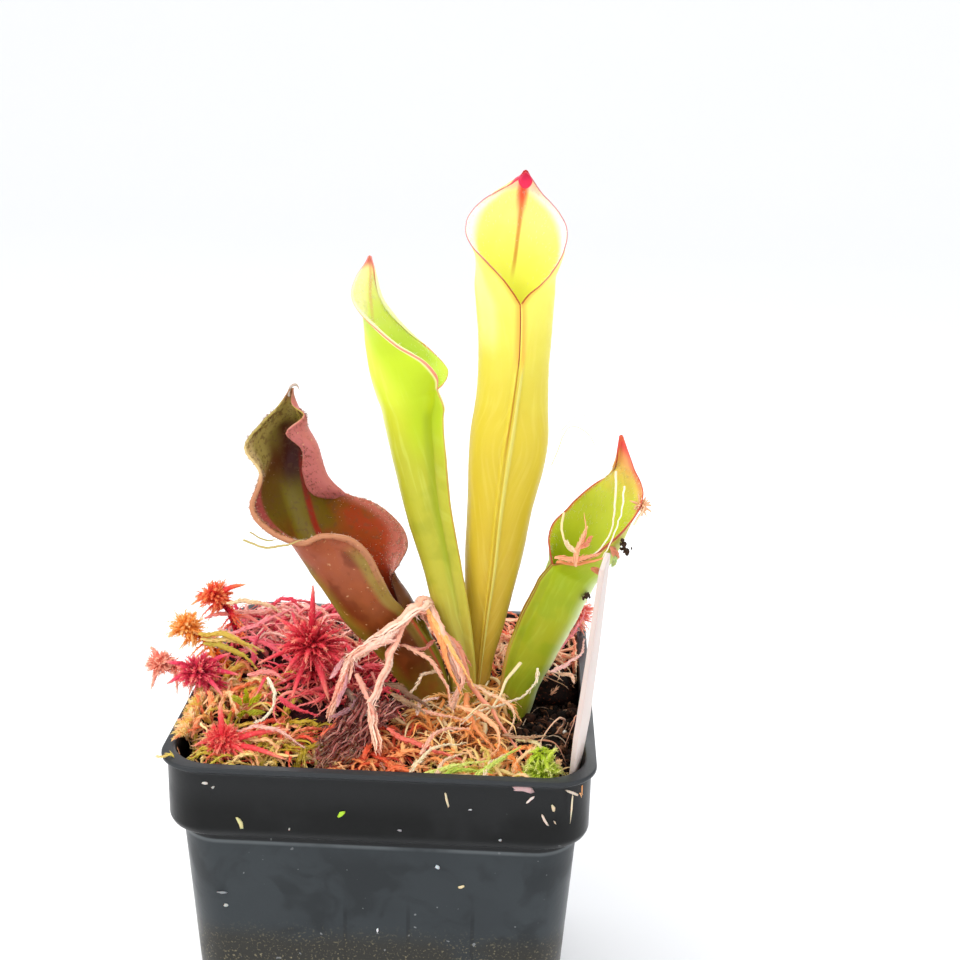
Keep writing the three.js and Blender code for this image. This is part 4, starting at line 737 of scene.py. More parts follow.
def finish_of(name, attributes=(), noises=(), **values):
    """A new material with its shader's fixed values set, its tree, and the fields that its colours
    go by: numbers stored on the points, and noises, each by its size in millimetres and detail."""
    material = bpy.data.materials.new(name)
    material.use_nodes = True
    tree = material.node_tree
    for key, value in values.items():
        tree.nodes["Principled BSDF"].inputs[key.replace("_", " ")].default_value = value
    fields = {key: node(tree, "Attribute", attribute_name=key)["Fac"] for key in attributes}
    if noises:
        fields["place"] = node(tree, "TexCoord")["Object"]
    for key, size, detail in noises:
        fields[key] = node(tree, "TexNoise", {"Vector": fields["place"], "Scale": 1 / (size * MM),
                                              "Detail": detail})[0]
    return material, tree, fields


def paint(material, fields, colour, layers=(), relief=(), rough=None):
    """Lays colours over each other and feeds the shader. A layer is a hex colour, its strength and
    its gates: each gate is a field that lets the colour through smoothly as it goes from one value
    to another. A relief is a field, its strength and its height in millimetres. Rough is a field,
    two of its values and the roughness at each."""
    tree, feeds = material.node_tree, {}
    for hexa, strength, *gates in layers:
        for field, low, high in gates:
            gate = node(tree, "MapRange", {0: fields[field], 1: low, 2: high},
                        interpolation_type="SMOOTHSTEP")[0]
            strength = node(tree, "Math", {0: strength, 1: gate}, operation="MULTIPLY")[0]
        colour = node(tree, "Mix", {0: strength, 6: colour, 7: linear(hexa)}, data_type="RGBA")[2]
    feeds["Base Color"] = colour
    if rough:
        field, *span = rough
        feeds["Roughness"] = node(tree, "MapRange", dict(enumerate((fields[field], *span))))[0]
    for field, strength, height in relief:
        under = {"Normal": feeds["Normal"]} if "Normal" in feeds else {}
        feeds["Normal"] = node(tree, "Bump", {"Strength": strength, "Distance": height * MM,
                                              "Height": fields[field], **under})[0]
    for key, socket in feeds.items():
        tree.links.new(socket, tree.nodes["Principled BSDF"].inputs[key])
    return material


# Pot


def rounded_square(half, radius, steps=12):
    """The outline of a square of half width, its corners turned on a radius: counter-clockwise."""
    angle = (np.arange(4)[:, None] + np.linspace(0, 1, steps)) * math.pi / 2
    signs = np.array([(1, 1), (-1, 1), (-1, -1), (1, -1)])[:, None]
    turned = np.stack([np.cos(angle), np.sin(angle)], -1)
    return (signs * (half - radius) + radius * turned).reshape(-1, 2)


def filleted(profile, steps=5):
    """A profile of (half width, height, radius) with each corner cut by the curve 'blend of the two
    straights', a parabola that leaves them at the radius from the corner."""
    profile = np.asarray(profile, float)
    points = []
    for before, (x, z, r), after in zip(profile[:-2], profile[1:-1], profile[2:]):
        corner = np.array([x, z])
        start = corner + unit(before[:2] - corner) * r
        end = corner + unit(after[:2] - corner) * r
        s = np.linspace(0, 1, steps)[:, None]
        points.append((1 - s) ** 2 * start + 2 * s * (1 - s) * corner + s ** 2 * end)
    return np.concatenate([profile[:1, :2], *points, profile[-1:, :2]])


def lofted(profile, radius, bottom, top):
    """A solid of rounded squares, one for each profile point, closed by a point at each end."""
    rings = np.stack([level(rounded_square(half, radius), z) for half, z in profile])
    return capped(rings, (0, 0, bottom), (0, 0, top))


def pot_inside(play):
    """The inside of the pot from the floor up, drawn in by the play."""
    return [(WALL_BOTTOM_HALF - POT_WALL - play, POT_WALL + play, 1.2),
            (WALL_TOP_HALF - POT_WALL - play, COLLAR_FOOT + 0.4, 0.5),
            (COLLAR_HALF - POT_WALL - play, COLLAR_FOOT + 2.4, 0.7)]


def make_pot(settings):
    """The pot: one profile carried round a square with rounded corners, pierced by the drain
    holes."""
    collar, lip = COLLAR_HALF, LIP_HALF
    outside = [(0, 0, 0), (WALL_BOTTOM_HALF - 1, 0, 0.4), (WALL_BOTTOM_HALF, 1, 0.5),
               (WALL_TOP_HALF, COLLAR_FOOT - 0.8, 0.35), (collar - 0.5, COLLAR_FOOT + 0.3, 0.4),
               (collar, COLLAR_FOOT + 1.6, 0.5), (collar, POT_HEIGHT - LIP_THICK - 0.7, 0.4),
               (lip, POT_HEIGHT - LIP_THICK, 0.3), (lip, POT_HEIGHT, 0.4)]
    inside = [(collar - POT_WALL, POT_HEIGHT, 0.4), *pot_inside(0)[::-1], (0, POT_WALL, 0)]
    body = lofted(filleted(outside + inside)[1:-1], CORNER, 0, POT_WALL)
    pot = surface("pot_shell", [chunk(*body)], "pot_plastic", "pot", pot_plastic(settings))
    angle = np.arange(40) * math.pi / 20
    ring = np.column_stack([np.cos(angle), np.sin(angle)]) * DRAIN_RADIUS
    plugs, ends = [], (-1, POT_WALL + 1)
    for signs in ((1, 1), (-1, 1), (-1, -1), (1, -1)):
        at = np.array(signs) * DRAIN_AT
        rings = np.stack([level(ring + at, z) for z in ends])
        plugs.append(chunk(*capped(rings, *[(*at, z) for z in ends])))
    cutter = surface("drain_plugs", plugs, "pot_plastic")
    cut = pot.modifiers.new("Drain holes", "BOOLEAN")
    cut.operation, cut.solver, cut.object = "DIFFERENCE", "EXACT", cutter
    pierced = pot.evaluated_get(bpy.context.evaluated_depsgraph_get())
    whole = bpy.data.meshes.new_from_object(pierced)
    pot.modifiers.clear()
    pot.data = whole
    bpy.data.objects.remove(cutter)


def pot_plastic(settings):
    """Injection-moulded recycled polypropylene: a satin black, with smears where water dried, three
    faint lines of the mould, and grains of soil round its lower part. Light and shade are painted
    on it: the collar darker, a shadow under the collar's foot, and highlights below that foot and
    on the lip."""
    material, tree, fields = finish_of(
        "polypropylene, injection moulded, satin", (),
        (("mottle", 22, 4), ("grain", 0.8, 2), ("specks", 1.5, 1), ("soil", 0.55, 3)),
        Roughness=0.3, IOR=1.49, Specular_IOR_Level=0.16)
    place = fields["place"]
    across, _, fields["height"] = node(tree, "SeparateXYZ", {0: place})
    bent = node(tree, "TexNoise", {"Vector": place, "Scale": 1 / (16 * MM)})[1]
    swirl = node(tree, "VectorMath", {0: bent, 1: (0.03, 0.03, 0.03), 2: place},
                 operation="MULTIPLY_ADD")[0]
    fields["smears"] = node(tree, "TexNoise", {"Vector": swirl, "Scale": 1 / (14 * MM),
                                               "Detail": 3})[0]
    lines = []
    for at in MOULD_LINES:
        off = node(tree, "Math", {0: across, 1: at * MM}, operation="SUBTRACT")[0]
        fields[f"line {at}"] = node(tree, "Math", {0: off}, operation="ABSOLUTE")[0]
        lines.append(("1a1c1e", 0.42, (f"line {at}", 0.0006, 0.0002), ("height", 0.052, 0.046)))
    colour = node(tree, "Mix", {0: fields["mottle"], 6: tuple(settings.plastic),
                                7: tuple(settings.worn)}, data_type="RGBA")[2]
    dust = settings.dust
    return paint(material, fields, colour, [
        ("1f2224", 0.55, ("smears", 0.48, 0.62), ("height", 0.066, 0.058),
         ("height", 0.030, 0.040)),
        # painted highlight: a light line on the wall just below the collar's foot
        ("666b6d", 0.55, ("height", 0.0630, 0.0637), ("height", 0.0644, 0.0640),
         ("mottle", 0.3, 0.5)),
        # painted shade: dark from just below the collar's foot upward, a painted shadow under the
        # collar and the base of its painted darker tone
        ("1d1e1f", 1.0, ("height", 0.0639, 0.0644)),
        # painted shade: the collar painted darker, standing in for the dark surroundings it
        # reflects
        ("0a0b0b", 0.85, ("height", 0.0665, 0.0685), ("height", 0.078, 0.071),
         ("mottle", 0.3, 0.5)),
        # painted highlight along the lip
        ("3a3d40", 0.6, ("height", 0.0795, 0.0815)),
        *lines,
        ("302e29", 0.85, ("height", 0.0445, 0.0385), ("mottle", 0.3, 0.5)),
        ("746c54", dust, ("height", 0.046, 0.035), ("soil", 0.56, 0.66)),
        ("a89e80", dust, ("height", 0.045, 0.033), ("soil", 0.67, 0.72)),
        ("8d8f90", dust, ("height", 0.085, 0.045), ("specks", 0.755, 0.785)),
    ], [("grain", 0.35, 0.05)], ("smears", 0.4, 0.65, 0.28, 0.42))


# Peat


def make_peat(settings):
    """The peat: a block that fills the pot, its top a net of rounded squares raised by noise, with
    crumbs, fibres and a few white grains on it."""
    inner = COLLAR_HALF - POT_WALL - SEAT
    sides = filleted([(0, 0, 0), *pot_inside(SEAT), (inner, SOIL_TOP, 0.2)])[1:]
    shares = np.linspace(1, 0.02, 20)[1:]
    rings = np.stack([level(rounded_square(half, CORNER - 1), z) for half, z in sides]
                     + [level(rounded_square(inner, CORNER - 1) * s, SOIL_TOP) for s in shares])
    top = rings[len(sides):]
    top[..., 2] += ripple(top, 3, 7) * 0.5 * smooth((1 - shares) * 12)[:, None]
    block = chunk(*capped(rings, (0, 0, POT_WALL + SEAT), (0, 0, SOIL_TOP)), share=0.5, tint=0.3)
    rng = np.random.default_rng(61)
    count = settings.crumbs
    spots = np.column_stack([rng.uniform(24, 41, count), rng.uniform(-36, 8, count),
                             SOIL_TOP + rng.uniform(0, 0.8, count) + 0.7 * rng.random(count) ** 3])
    crumbs = blobs(spots, 0.35 + 1.1 * rng.random(count) ** 2.2, 62, rng.uniform(0, 0.8, count))
    grains = blobs(WHITE_GRAINS, (0.55, 0.4, 0.5, 0.35), 63, 1.0)
    count = 46
    roots = np.column_stack([rng.uniform(27, 40, count), rng.uniform(-30, 4, count)])
    turn = rng.uniform(0, TURN, count)
    s = np.linspace(0, 1, 7)
    length = rng.uniform(2.5, 7, count)[:, None] * s
    heading = turn[:, None] + rng.uniform(-1.2, 1.2, count)[:, None] * s
    arch = np.sin(math.pi * s) * rng.uniform(0.1, 1.6, count)[:, None]
    paths = np.stack([roots[:, :1] + length * np.cos(heading),
                      roots[:, 1:] + length * np.sin(heading), SOIL_TOP + 0.7 + arch], -1)
    paths[..., :2] = np.clip(paths[..., :2], -41, 41)
    fibres = tubes(paths, np.full((count, 7), 0.13), 4, tint=rng.uniform(0.6, 0.9, count))
    surface("peat_block", [block, crumbs, grains, fibres], "peat", "soil", peat_material())


def peat_material():
    """Damp milled peat with grit: near black and dull, with lighter and darker grains."""
    material, tree, fields = finish_of("peat, milled, damp", ("tint",), (("grain", 0.9, 4),),
                                       Roughness=0.8, Specular_IOR_Level=0.15)
    stops = [(0, "0e0806"), (0.35, "1c110c"), (0.6, "3a2016"), (0.8, "96664a"), (0.93, "d9c8b0"),
             (1, "f2efe9")]
    return paint(material, fields, node(tree, "ValToRGB", {0: fields["tint"]}, stops=stops)[0],
                 [("0d0907", 0.75, ("grain", 0.52, 0.40)), ("4c2c1e", 0.5, ("grain", 0.62, 0.72))],
                 [("grain", 0.9, 0.5)])


# Pitchers


def wall_middle(spec, ts, us):
    """The middle of a pitcher's wall: at a station, centre + a sin(u H) sideways - b cos(u H)
    forward, u from -1 to 1 and H half the opening angle. Above the notch, what lies past
    FLARE_START from the back bends out to the measured edge of the mouth, by the power FLARE_POWER
    of how far."""
    stations = np.array(spec["stations"], float)
    last, closed = len(stations) - 1, spec["closed"]
    row = spline(stations, ts)
    along = unit(spline(stations, np.minimum(ts + 1e-3, last))[:, :3]
                 - spline(stations, np.maximum(ts - 1e-3, 0))[:, :3])
    turn = np.radians(row[:, 6])
    facing = np.stack([np.cos(turn), np.sin(turn), 0 * turn], -1)
    facing = unit(facing - along * (facing * along).sum(-1, keepdims=True))
    lateral = np.cross(along, facing)
    half = np.where(ts <= closed, math.pi, np.radians(np.clip(row[:, 5], 2, 180)))
    angle = us[None] * half[:, None]
    wide, deep = (np.maximum(row[:, k], 0.2)[:, None, None] for k in (3, 4))
    points = (row[:, None, :3] + lateral[:, None] * wide * np.sin(angle)[..., None]
              - facing[:, None] * deep * np.cos(angle)[..., None])
    mouth = np.clip((ts - closed) / (last - closed), 0, 1)
    bend = np.clip((np.abs(us) - FLARE_START) / (1 - FLARE_START), 0, 1) ** FLARE_POWER
    ends = points[:, [0, -1]].copy()
    notch = np.flatnonzero(ts <= closed)[-1]
    fade = (1 - np.minimum(mouth / 0.25, 1))[:, None] ** 2
    for side, key, end in ((us < 0, "left", 0), (us >= 0, "right", 1)):
        edge = spline(spec[key], mouth * (len(spec[key]) - 1))
        edge = edge + fade * (ends[notch, 1] - spec["left"][0])
        shift = np.where(mouth[:, None] > 0, edge - ends[:, end], 0)
        points[:, side] += bend[side][None, :, None] * shift[:, None]
    return points, facing, mouth


def pitcher_wall(spec, seed, thickness):
    """Both skins of a pitcher and what is known at each point: how far along the leaf and up the
    mouth, the distance to the edge and round from the back rib, and the turn round the leaf."""
    last, closed = len(spec["stations"]) - 1, spec["closed"]
    ts = np.concatenate([np.linspace(0, closed, 61),
                         closed + (last - closed) * np.linspace(0, 1, 66)[1:]])
    half = np.concatenate([np.linspace(0, 0.88, 23), np.linspace(0.9, 1, 9)])
    us = np.concatenate([-half[:0:-1], half])
    middle, facing, mouth = wall_middle(spec, ts, us)
    shut = ts <= closed
    beside = np.concatenate([middle[:, :1], middle, middle[:, -1:]], axis=1)
    beside[shut, 0], beside[shut, -1] = middle[shut, -2], middle[shut, 1]
    up = np.gradient(middle, axis=0)
    normal = unit(np.cross(up, beside[:, 2:] - beside[:, :-2]))
    middle = middle + normal * (ripple(middle, seed, 11) * 0.16)[..., None]
    steps = np.linalg.norm(np.diff(middle, axis=1), axis=-1)
    arc = np.concatenate([np.zeros((len(ts), 1)), np.cumsum(steps, axis=1)], axis=1)
    rib = arc - arc[:, len(half) - 1:len(half)]
    climb = np.linalg.norm(np.diff(middle[:, -1], axis=0), axis=-1)
    climb = np.concatenate([[0], np.cumsum(climb)])
    below = np.maximum(climb[shut][-1] - climb, 0)[:, None]
    edge = np.hypot(np.minimum(arc, arc[:, -1:] - arc), np.where(shut[:, None], below, 0))
    bead = (1 - 0.8 * smooth((mouth - 0.6) / 0.12))[:, None]
    bead = np.where(us < 0, *spec["beads"])[None] * bead
    deep = thickness / 2 * (spec["rim"] + (1 - spec["rim"]) * smooth(edge / 3))
    thin = (1 - 0.55 * smooth((mouth - 0.84) / 0.14))[:, None]
    deep = (deep + bead * np.exp(-(edge / 0.8) ** 2)) * thin
    half_way = (1 + spec["ridge"]) / 2
    ridge = smooth((np.abs(us) - spec["ridge"]) / (half_way - spec["ridge"]))
    ridge = ridge * (1 - (1 - spec["slit"]) * smooth((np.abs(us) - half_way) / (1 - half_way)))
    rise = spec["wing"] * smooth(ts / 2) * (1 - smooth(ts - spec["wing_top"]))
    outer = middle + normal * deep[..., None] + facing[:, None] * (rise[:, None] * ridge)[..., None]
    inner = middle - normal * deep[..., None]
    facts = {"along": np.broadcast_to((ts / last)[:, None], arc.shape),
             "mouth": np.broadcast_to(mouth[:, None], arc.shape), "edge": edge, "rib": rib,
             "turn": np.broadcast_to(us, arc.shape)}
    return outer, inner, middle, normal, up, deep, shut, facts


def make_pitcher(name, spec, seed, settings):
    """A pitcher as one closed shell: outer and inner skin, joined along the edge of the mouth by a
    half-round strip, and closed at the foot and at the bottom of the well."""
    wall = pitcher_wall(spec, seed, settings.wall / MM)
    outer, inner, middle, normal, up, deep, shut, facts = wall
    rows, columns = middle.shape[:2]
    index = np.arange(rows * columns).reshape(rows, columns)
    index[shut, -1] = index[shut, 0]
    front, back = index, index + rows * columns
    notch = np.flatnonzero(shut)[-1]
    start, size = notch // 9, rows * columns
    quads = [np.stack([front[:-1, :-1], front[1:, :-1], front[1:, 1:], front[:-1, 1:]], -1),
             np.stack([back[:-1, :-1], back[:-1, 1:], back[1:, 1:], back[1:, :-1]], -1)[start:]]
    points = [outer.reshape(-1, 3), inner.reshape(-1, 3)]
    skins = [np.zeros(size), np.ones(size)]
    fields = {key: [value.ravel()] * 2 for key, value in facts.items()}
    chains = []
    total = 2 * size
    for column, beside in ((0, 1), (columns - 1, columns - 2)):
        out = unit(middle[:, column] - middle[:, beside])
        out[notch] = unit(up[notch, 0])
        chain = [front[:, column]]
        for number, angle in enumerate(np.radians([50, 0, -50])):
            points.append(middle[:, column] + deep[:, column, None]
                          * (normal[:, column] * math.sin(angle) + out * math.cos(angle)))
            skins.append(np.full(rows, 0.25 + 0.25 * number))
            for key, value in facts.items():
                fields[key].append(value[:, column])
            chain.append(total + np.arange(rows))
            total += rows
        chain.append(back[:, column])
        chains.append(np.stack(chain))
    chains[1][:, notch] = chains[0][:, notch]
    left, right = (c[:, notch:] for c in chains)
    quads.append(np.stack([left[:-1, 1:], left[:-1, :-1], left[1:, :-1], left[1:, 1:]], -1))
    quads.append(np.stack([right[:-1, :-1], right[:-1, 1:], right[1:, 1:], right[1:, :-1]], -1))
    crown = np.concatenate([front[-1], right[1:-1, -1], back[-1, ::-1], left[-2:0:-1, -1]])
    ends = [middle[-1].mean(axis=0) + unit(up[-1, columns // 2]) * 0.35,
            middle[0, :-1].mean(axis=0), middle[start, :-1].mean(axis=0)]
    points.append(np.array(ends))
    skins.append(np.array([0.5, 0, 1]))
    for key, value in facts.items():
        fields[key].append(np.array([value[-1, 0], value[0, 0], value[start, 0]]))
    fans = [np.stack([np.roll(crown, -1), crown, np.full(len(crown), total)], -1),
            np.stack([front[0, :-1], front[0, 1:], np.full(columns - 1, total + 1)], -1),
            np.stack([back[start, 1:], back[start, :-1], np.full(columns - 1, total + 2)], -1)]
    quads = np.concatenate([q.reshape(-1, 4) for q in quads])
    fans = np.concatenate(fans)
    points = np.concatenate(points)
    used = np.unique(np.concatenate([quads.ravel(), fans.ravel()]))
    number = np.zeros(len(points), int)
    number[used] = np.arange(len(used))
    fields = {key: np.concatenate(value)[used] for key, value in fields.items()}
    pieces = [chunk(points[used], number[quads], number[fans],
                    skin=np.concatenate(skins)[used], **fields)]
    if "spoon" in spec:
        pieces.append(spoon(*spec["spoon"]))
    look = LEAVES[name]
    surface(name + "_leaf", pieces, look["slot"], name, leaf_material(look))


def spoon(at, half):
    """The nectar spoon, a small hood under the tip: at each height h from -1 to 1 a ring of radius
    cos(h pi / 2) ^ 0.6, drawn in to a point at the top, hollowed a little in front."""
    h = np.linspace(-1, 1, 13)[1:-1, None]
    angle = np.arange(20)[None, :] * TURN / 20
    radius = np.cos(h * math.pi / 2) ** 0.6 * (1 - 0.35 * smooth(h))
    hollow = 0.5 * np.maximum(-np.sin(angle), 0) ** 4 * np.cos(h * math.pi / 2)
    rings = np.stack([radius * np.cos(angle), radius * np.sin(angle) * (1 - hollow) + 0.25 * h,
                      h + 0 * angle], -1)
    points, quads, fans = capped(rings, (0, -0.25, -1), (0, 0.25, 1.02))
    return chunk(points * half + at, quads, fans, along=1, mouth=0.95 + 0.05 * points[:, 2], edge=2,
                 rib=5, turn=0.5, skin=1)


def layer_of(text):
    """A layer of colour from its words: a colour, a strength, and each gate's field and values."""
    hexa, strength, *words = " ".join(GATES.get(word, word) for word in text.split()).split()
    gates = zip(words[::3], map(float, words[1::3]), map(float, words[2::3]))
    return hexa, float(strength), *gates


def stops_of(text):
    """A ramp's stops from its words: the places and their hex colours, parted by commas."""
    return [(float(place), hexa) for place, hexa in map(str.split, text.split(","))]


def leaf_material(look):
    """Living leaf: a waxy skin with a soft sheen over tissue that lets light through, so that the
    wall glows where it is thin and its colours run into each other."""
    material, tree, fields = finish_of(
        look["finish"], ("along", "mouth", "edge", "rib", "turn", "skin"),
        (("patches", 7, 3), ("specks", 1, 3)), Roughness=0.38, IOR=1.43, Specular_IOR_Level=0.25,
        Subsurface_Weight=look["glow"], Subsurface_Scale=2.0 * MM,
        Subsurface_Radius=(1.0, 0.85, 0.35), Coat_Weight=0.04, Coat_Roughness=0.25)
    along = fields["along"]
    fields["seam"] = node(tree, "Math", {0: fields["turn"]}, operation="ABSOLUTE")[0]
    lane = node(tree, "Math", {0: along, 1: 9.0}, operation="MULTIPLY")[0]
    lanes = node(tree, "CombineXYZ", {0: fields["rib"], 1: lane})[0]
    fields["streaks"] = node(tree, "TexNoise", {"Vector": lanes, "Scale": 1 / 0.9, "Detail": 2})[0]
    moved = node(tree, "Math", {0: fields["patches"], 1: 0.10, 2: along},
                 operation="MULTIPLY_ADD")[0]
    moved = node(tree, "Math", {0: moved, 1: 0.05}, operation="SUBTRACT")[0]
    outer, inner = (node(tree, "ValToRGB", {0: moved}, stops=stops_of(look[key]))[0]
                    for key in ("outer", "inner"))
    colour = node(tree, "Mix", {0: fields["skin"], 6: outer, 7: inner}, data_type="RGBA")[2]
    return paint(material, fields, colour, map(layer_of, look["layers"]),
                 [("streaks", 0.2, 0.08), ("specks", 0.25, 0.08)],
                 ("specks", 0.35, 0.65, 0.32, 0.46))


def cones(roots, ways, lengths, radius):
    """Fine hairs: a three-sided cone from each root along its way, closed at the root."""
    across = unit(np.cross(ways, np.array([0.31, 0.17, 0.93])))
    other = np.cross(ways, across)
    angle = np.arange(3) * 2 * math.pi / 3
    cos, sin = np.cos(angle)[:, None], np.sin(angle)[:, None]
    ring = roots[:, None] + (across[:, None] * cos + other[:, None] * sin) * radius
    points = np.concatenate([ring, (roots + ways * lengths[:, None])[:, None]], axis=1)
    corners = np.array([(0, 1, 3), (1, 2, 3), (2, 0, 3), (0, 2, 1)])
    return points, (4 * np.arange(len(roots))[:, None, None] + corners).reshape(-1, 3)


def make_hairs(settings):
    """The hairs of the mouths: on the inner skin they point down the throat, and on the edges of
    the dead pitcher they stand out, thinning evenly away from the edge."""
    rng = np.random.default_rng(71)
    chunks = []
    for number, (name, spec) in enumerate(PITCHERS.items()):
        outer, inner, middle, normal, up, _, shut, facts = pitcher_wall(spec, 11 + number, 0.9)
        open_rows = np.flatnonzero(~shut)
        groups = [(spec["hairs"] * settings.hairs, 1, 0.85, 0.04, LEAVES[name]["hair"], 9.0,
                   False, 0.0, 0.8)]
        if name == "pitcher_old":
            groups += [(1500, 0, 0.8, 0.05, "6e4630", 2.2, True, 0.1, 0.9),
                       (1500, 1, 0.6, 0.05, "f0cdb4", 3.0, True, 0.1, 0.7),
                       (1900, 1, 0.7, 0.05, "5a3c22", 5.0, True, 0.5, 0.9)]
        for count, skin, length, radius, hexa, reach, stand, low, high in groups:
            tries = int(count) * 6
            i, j = rng.choice(open_rows, tries), rng.integers(0, middle.shape[1], tries)
            keep = rng.random(tries) < np.exp(-facts["edge"][i, j] / reach)
            keep &= (facts["mouth"][i, j] > low) & (facts["mouth"][i, j] < high)
            keep = np.flatnonzero(keep)[:int(count)]
            i, j = i[keep], j[keep]
            side = normal[i, j] * (1 - 2 * skin)
            edge_way = unit(middle[i, j] - middle[i, middle.shape[1] // 2])
            way = side * 0.7 + edge_way * 0.5 if stand else side * 0.8 - unit(up[i, j]) * 0.9
            jitter = rng.normal(size=way.shape)
            roots = (inner if skin else outer)[i, j] + jitter * 0.25
            roots += side * (-(jitter * side).sum(-1, keepdims=True) * 0.25 - 0.05)
            ways = unit(way + rng.normal(size=way.shape) * 0.35)
            points, faces = cones(roots, ways, length * rng.uniform(0.5, 1.3, len(i)), radius)
            chunks.append(coloured(chunk(points, (), faces), hexa))
    surface("throat_hairs", chunks, "pitcher_lime", None,
            tinted_material("leaf hair, glassy", 0.3, 0.4))


def tinted_material(name, roughness, glow):
    """Small soft plant parts, whose colour is stored on their points: a dull or glassy skin that
    light passes into."""
    material, tree, fields = finish_of(name, ("red", "green", "blue"), Roughness=roughness,
                                       Specular_IOR_Level=0.15, Subsurface_Weight=glow,
                                       Subsurface_Scale=0.8 * MM)
    parts = dict(enumerate(fields.values()))
    return paint(material, fields, node(tree, "CombineColor", parts)[0])


# Sphagnum


def moss_material(name, stops, painted_shade, along, glow=0.0):
    """Sphagnum: big empty cells that hold water, so that it is dull and lets light deep into it.
    The colour goes by the strand, and by the way along it as far as the number along says. It is
    darker where a strand comes out of the cushion, and the cushion under it all is darkest: painted
    shade of the gaps between the strands."""
    material, tree, fields = finish_of(
        name, ("share", "tint", "core"), (("patches", 6, 2), ("cells", 0.5, 2)), Roughness=0.6,
        Specular_IOR_Level=0.1, Subsurface_Weight=glow, Subsurface_Scale=0.5 * MM)
    drive = -0.16
    for key, weight in (("tint", 1 - along), ("patches", 0.32), ("share", along)):
        drive = node(tree, "Math", {0: fields[key], 1: weight, 2: drive},
                     operation="MULTIPLY_ADD")[0]
    return paint(material, fields, node(tree, "ValToRGB", {0: drive}, stops=stops)[0], [
        # painted shade: strands darker at their roots, where they come out of the cushion
        (painted_shade, 0.55, ("share", 0.25, 0.0)),
        ("ffdcb0", 0.3, ("share", 0.75, 1.0)),
        ("fff0d0", 0.15, ("cells", 0.55, 0.7)),
        # painted shade: the cushion under the strands painted darkest, nearly black in places, for
        # the shade in the gaps between them
        (painted_shade, 1.0, ("core", 0.4, 0.6)),
        ("0c0504", 0.8, ("core", 0.4, 0.6), ("cells", 0.52, 0.44)),
        ("7a3c24", 0.5, ("core", 0.4, 0.6), ("cells", 0.6, 0.68)),
    ], [("cells", 0.5, 0.15)])


def palette(colours):
    """Colour stops spaced evenly."""
    return [(k / (len(colours) - 1), hexa) for k, hexa in enumerate(colours)]


def dressed(name, node_name, slot, strands, core, material):
    """A piece of moss: its strands and, marked as such on its points, the dark core under them."""
    for pieces, mark in ((strands, 0.0), (core, 1.0)):
        for piece in pieces:
            piece["fields"]["core"] = np.full(len(piece["points"]), mark)
    surface(name, strands + core, slot, node_name, material)


def tapered(radius, steps):
    """Strand radii r (1 - 0.5 s^2) that close in to a point over the last third."""
    s = np.linspace(0, 1, steps)
    return np.asarray(radius)[:, None] * (1 - 0.5 * s ** 2) * np.sqrt(np.maximum(1 - s ** 5, 0.01))


def spindles(steps, roots, ways, lengths, droop, rng):
    """Short shoots from roots along ways, bent down by droop times the square of the way along."""
    s = np.linspace(0, 1, steps)[None, :, None]
    paths = roots[:, None] + ways[:, None] * lengths[:, None, None] * s
    bend = rng.normal(size=(len(roots), 1, 3)) * 0.12 - np.array([0, 0, 1]) * droop
    return paths + bend * lengths[:, None, None] * s ** 2


def level_ways(count, low, high, rng):
    """Directions turned at random, that climb by a random number between low and high."""
    turn = rng.uniform(0, TURN, count)
    return unit(np.stack([np.cos(turn), np.sin(turn), rng.uniform(low, high, count)], -1))


def shoots(paths, half, each, settings, rng, lean=24, flat=0.8, twist=0.0, tint=0.5, size=1.0,
           sides=5, wide=0.2):
    """A leafy shoot along each path: the stalk and the leaves that lie along it."""
    radii = tapered(half, paths.shape[1]) * 0.8
    leaf = settings.leaf / MM * size
    return [tubes(paths, radii, sides, flat, twist, tint),
            leaflets(paths, radii, each, leaf, lean, rng, flat, twist, tint, wide)]


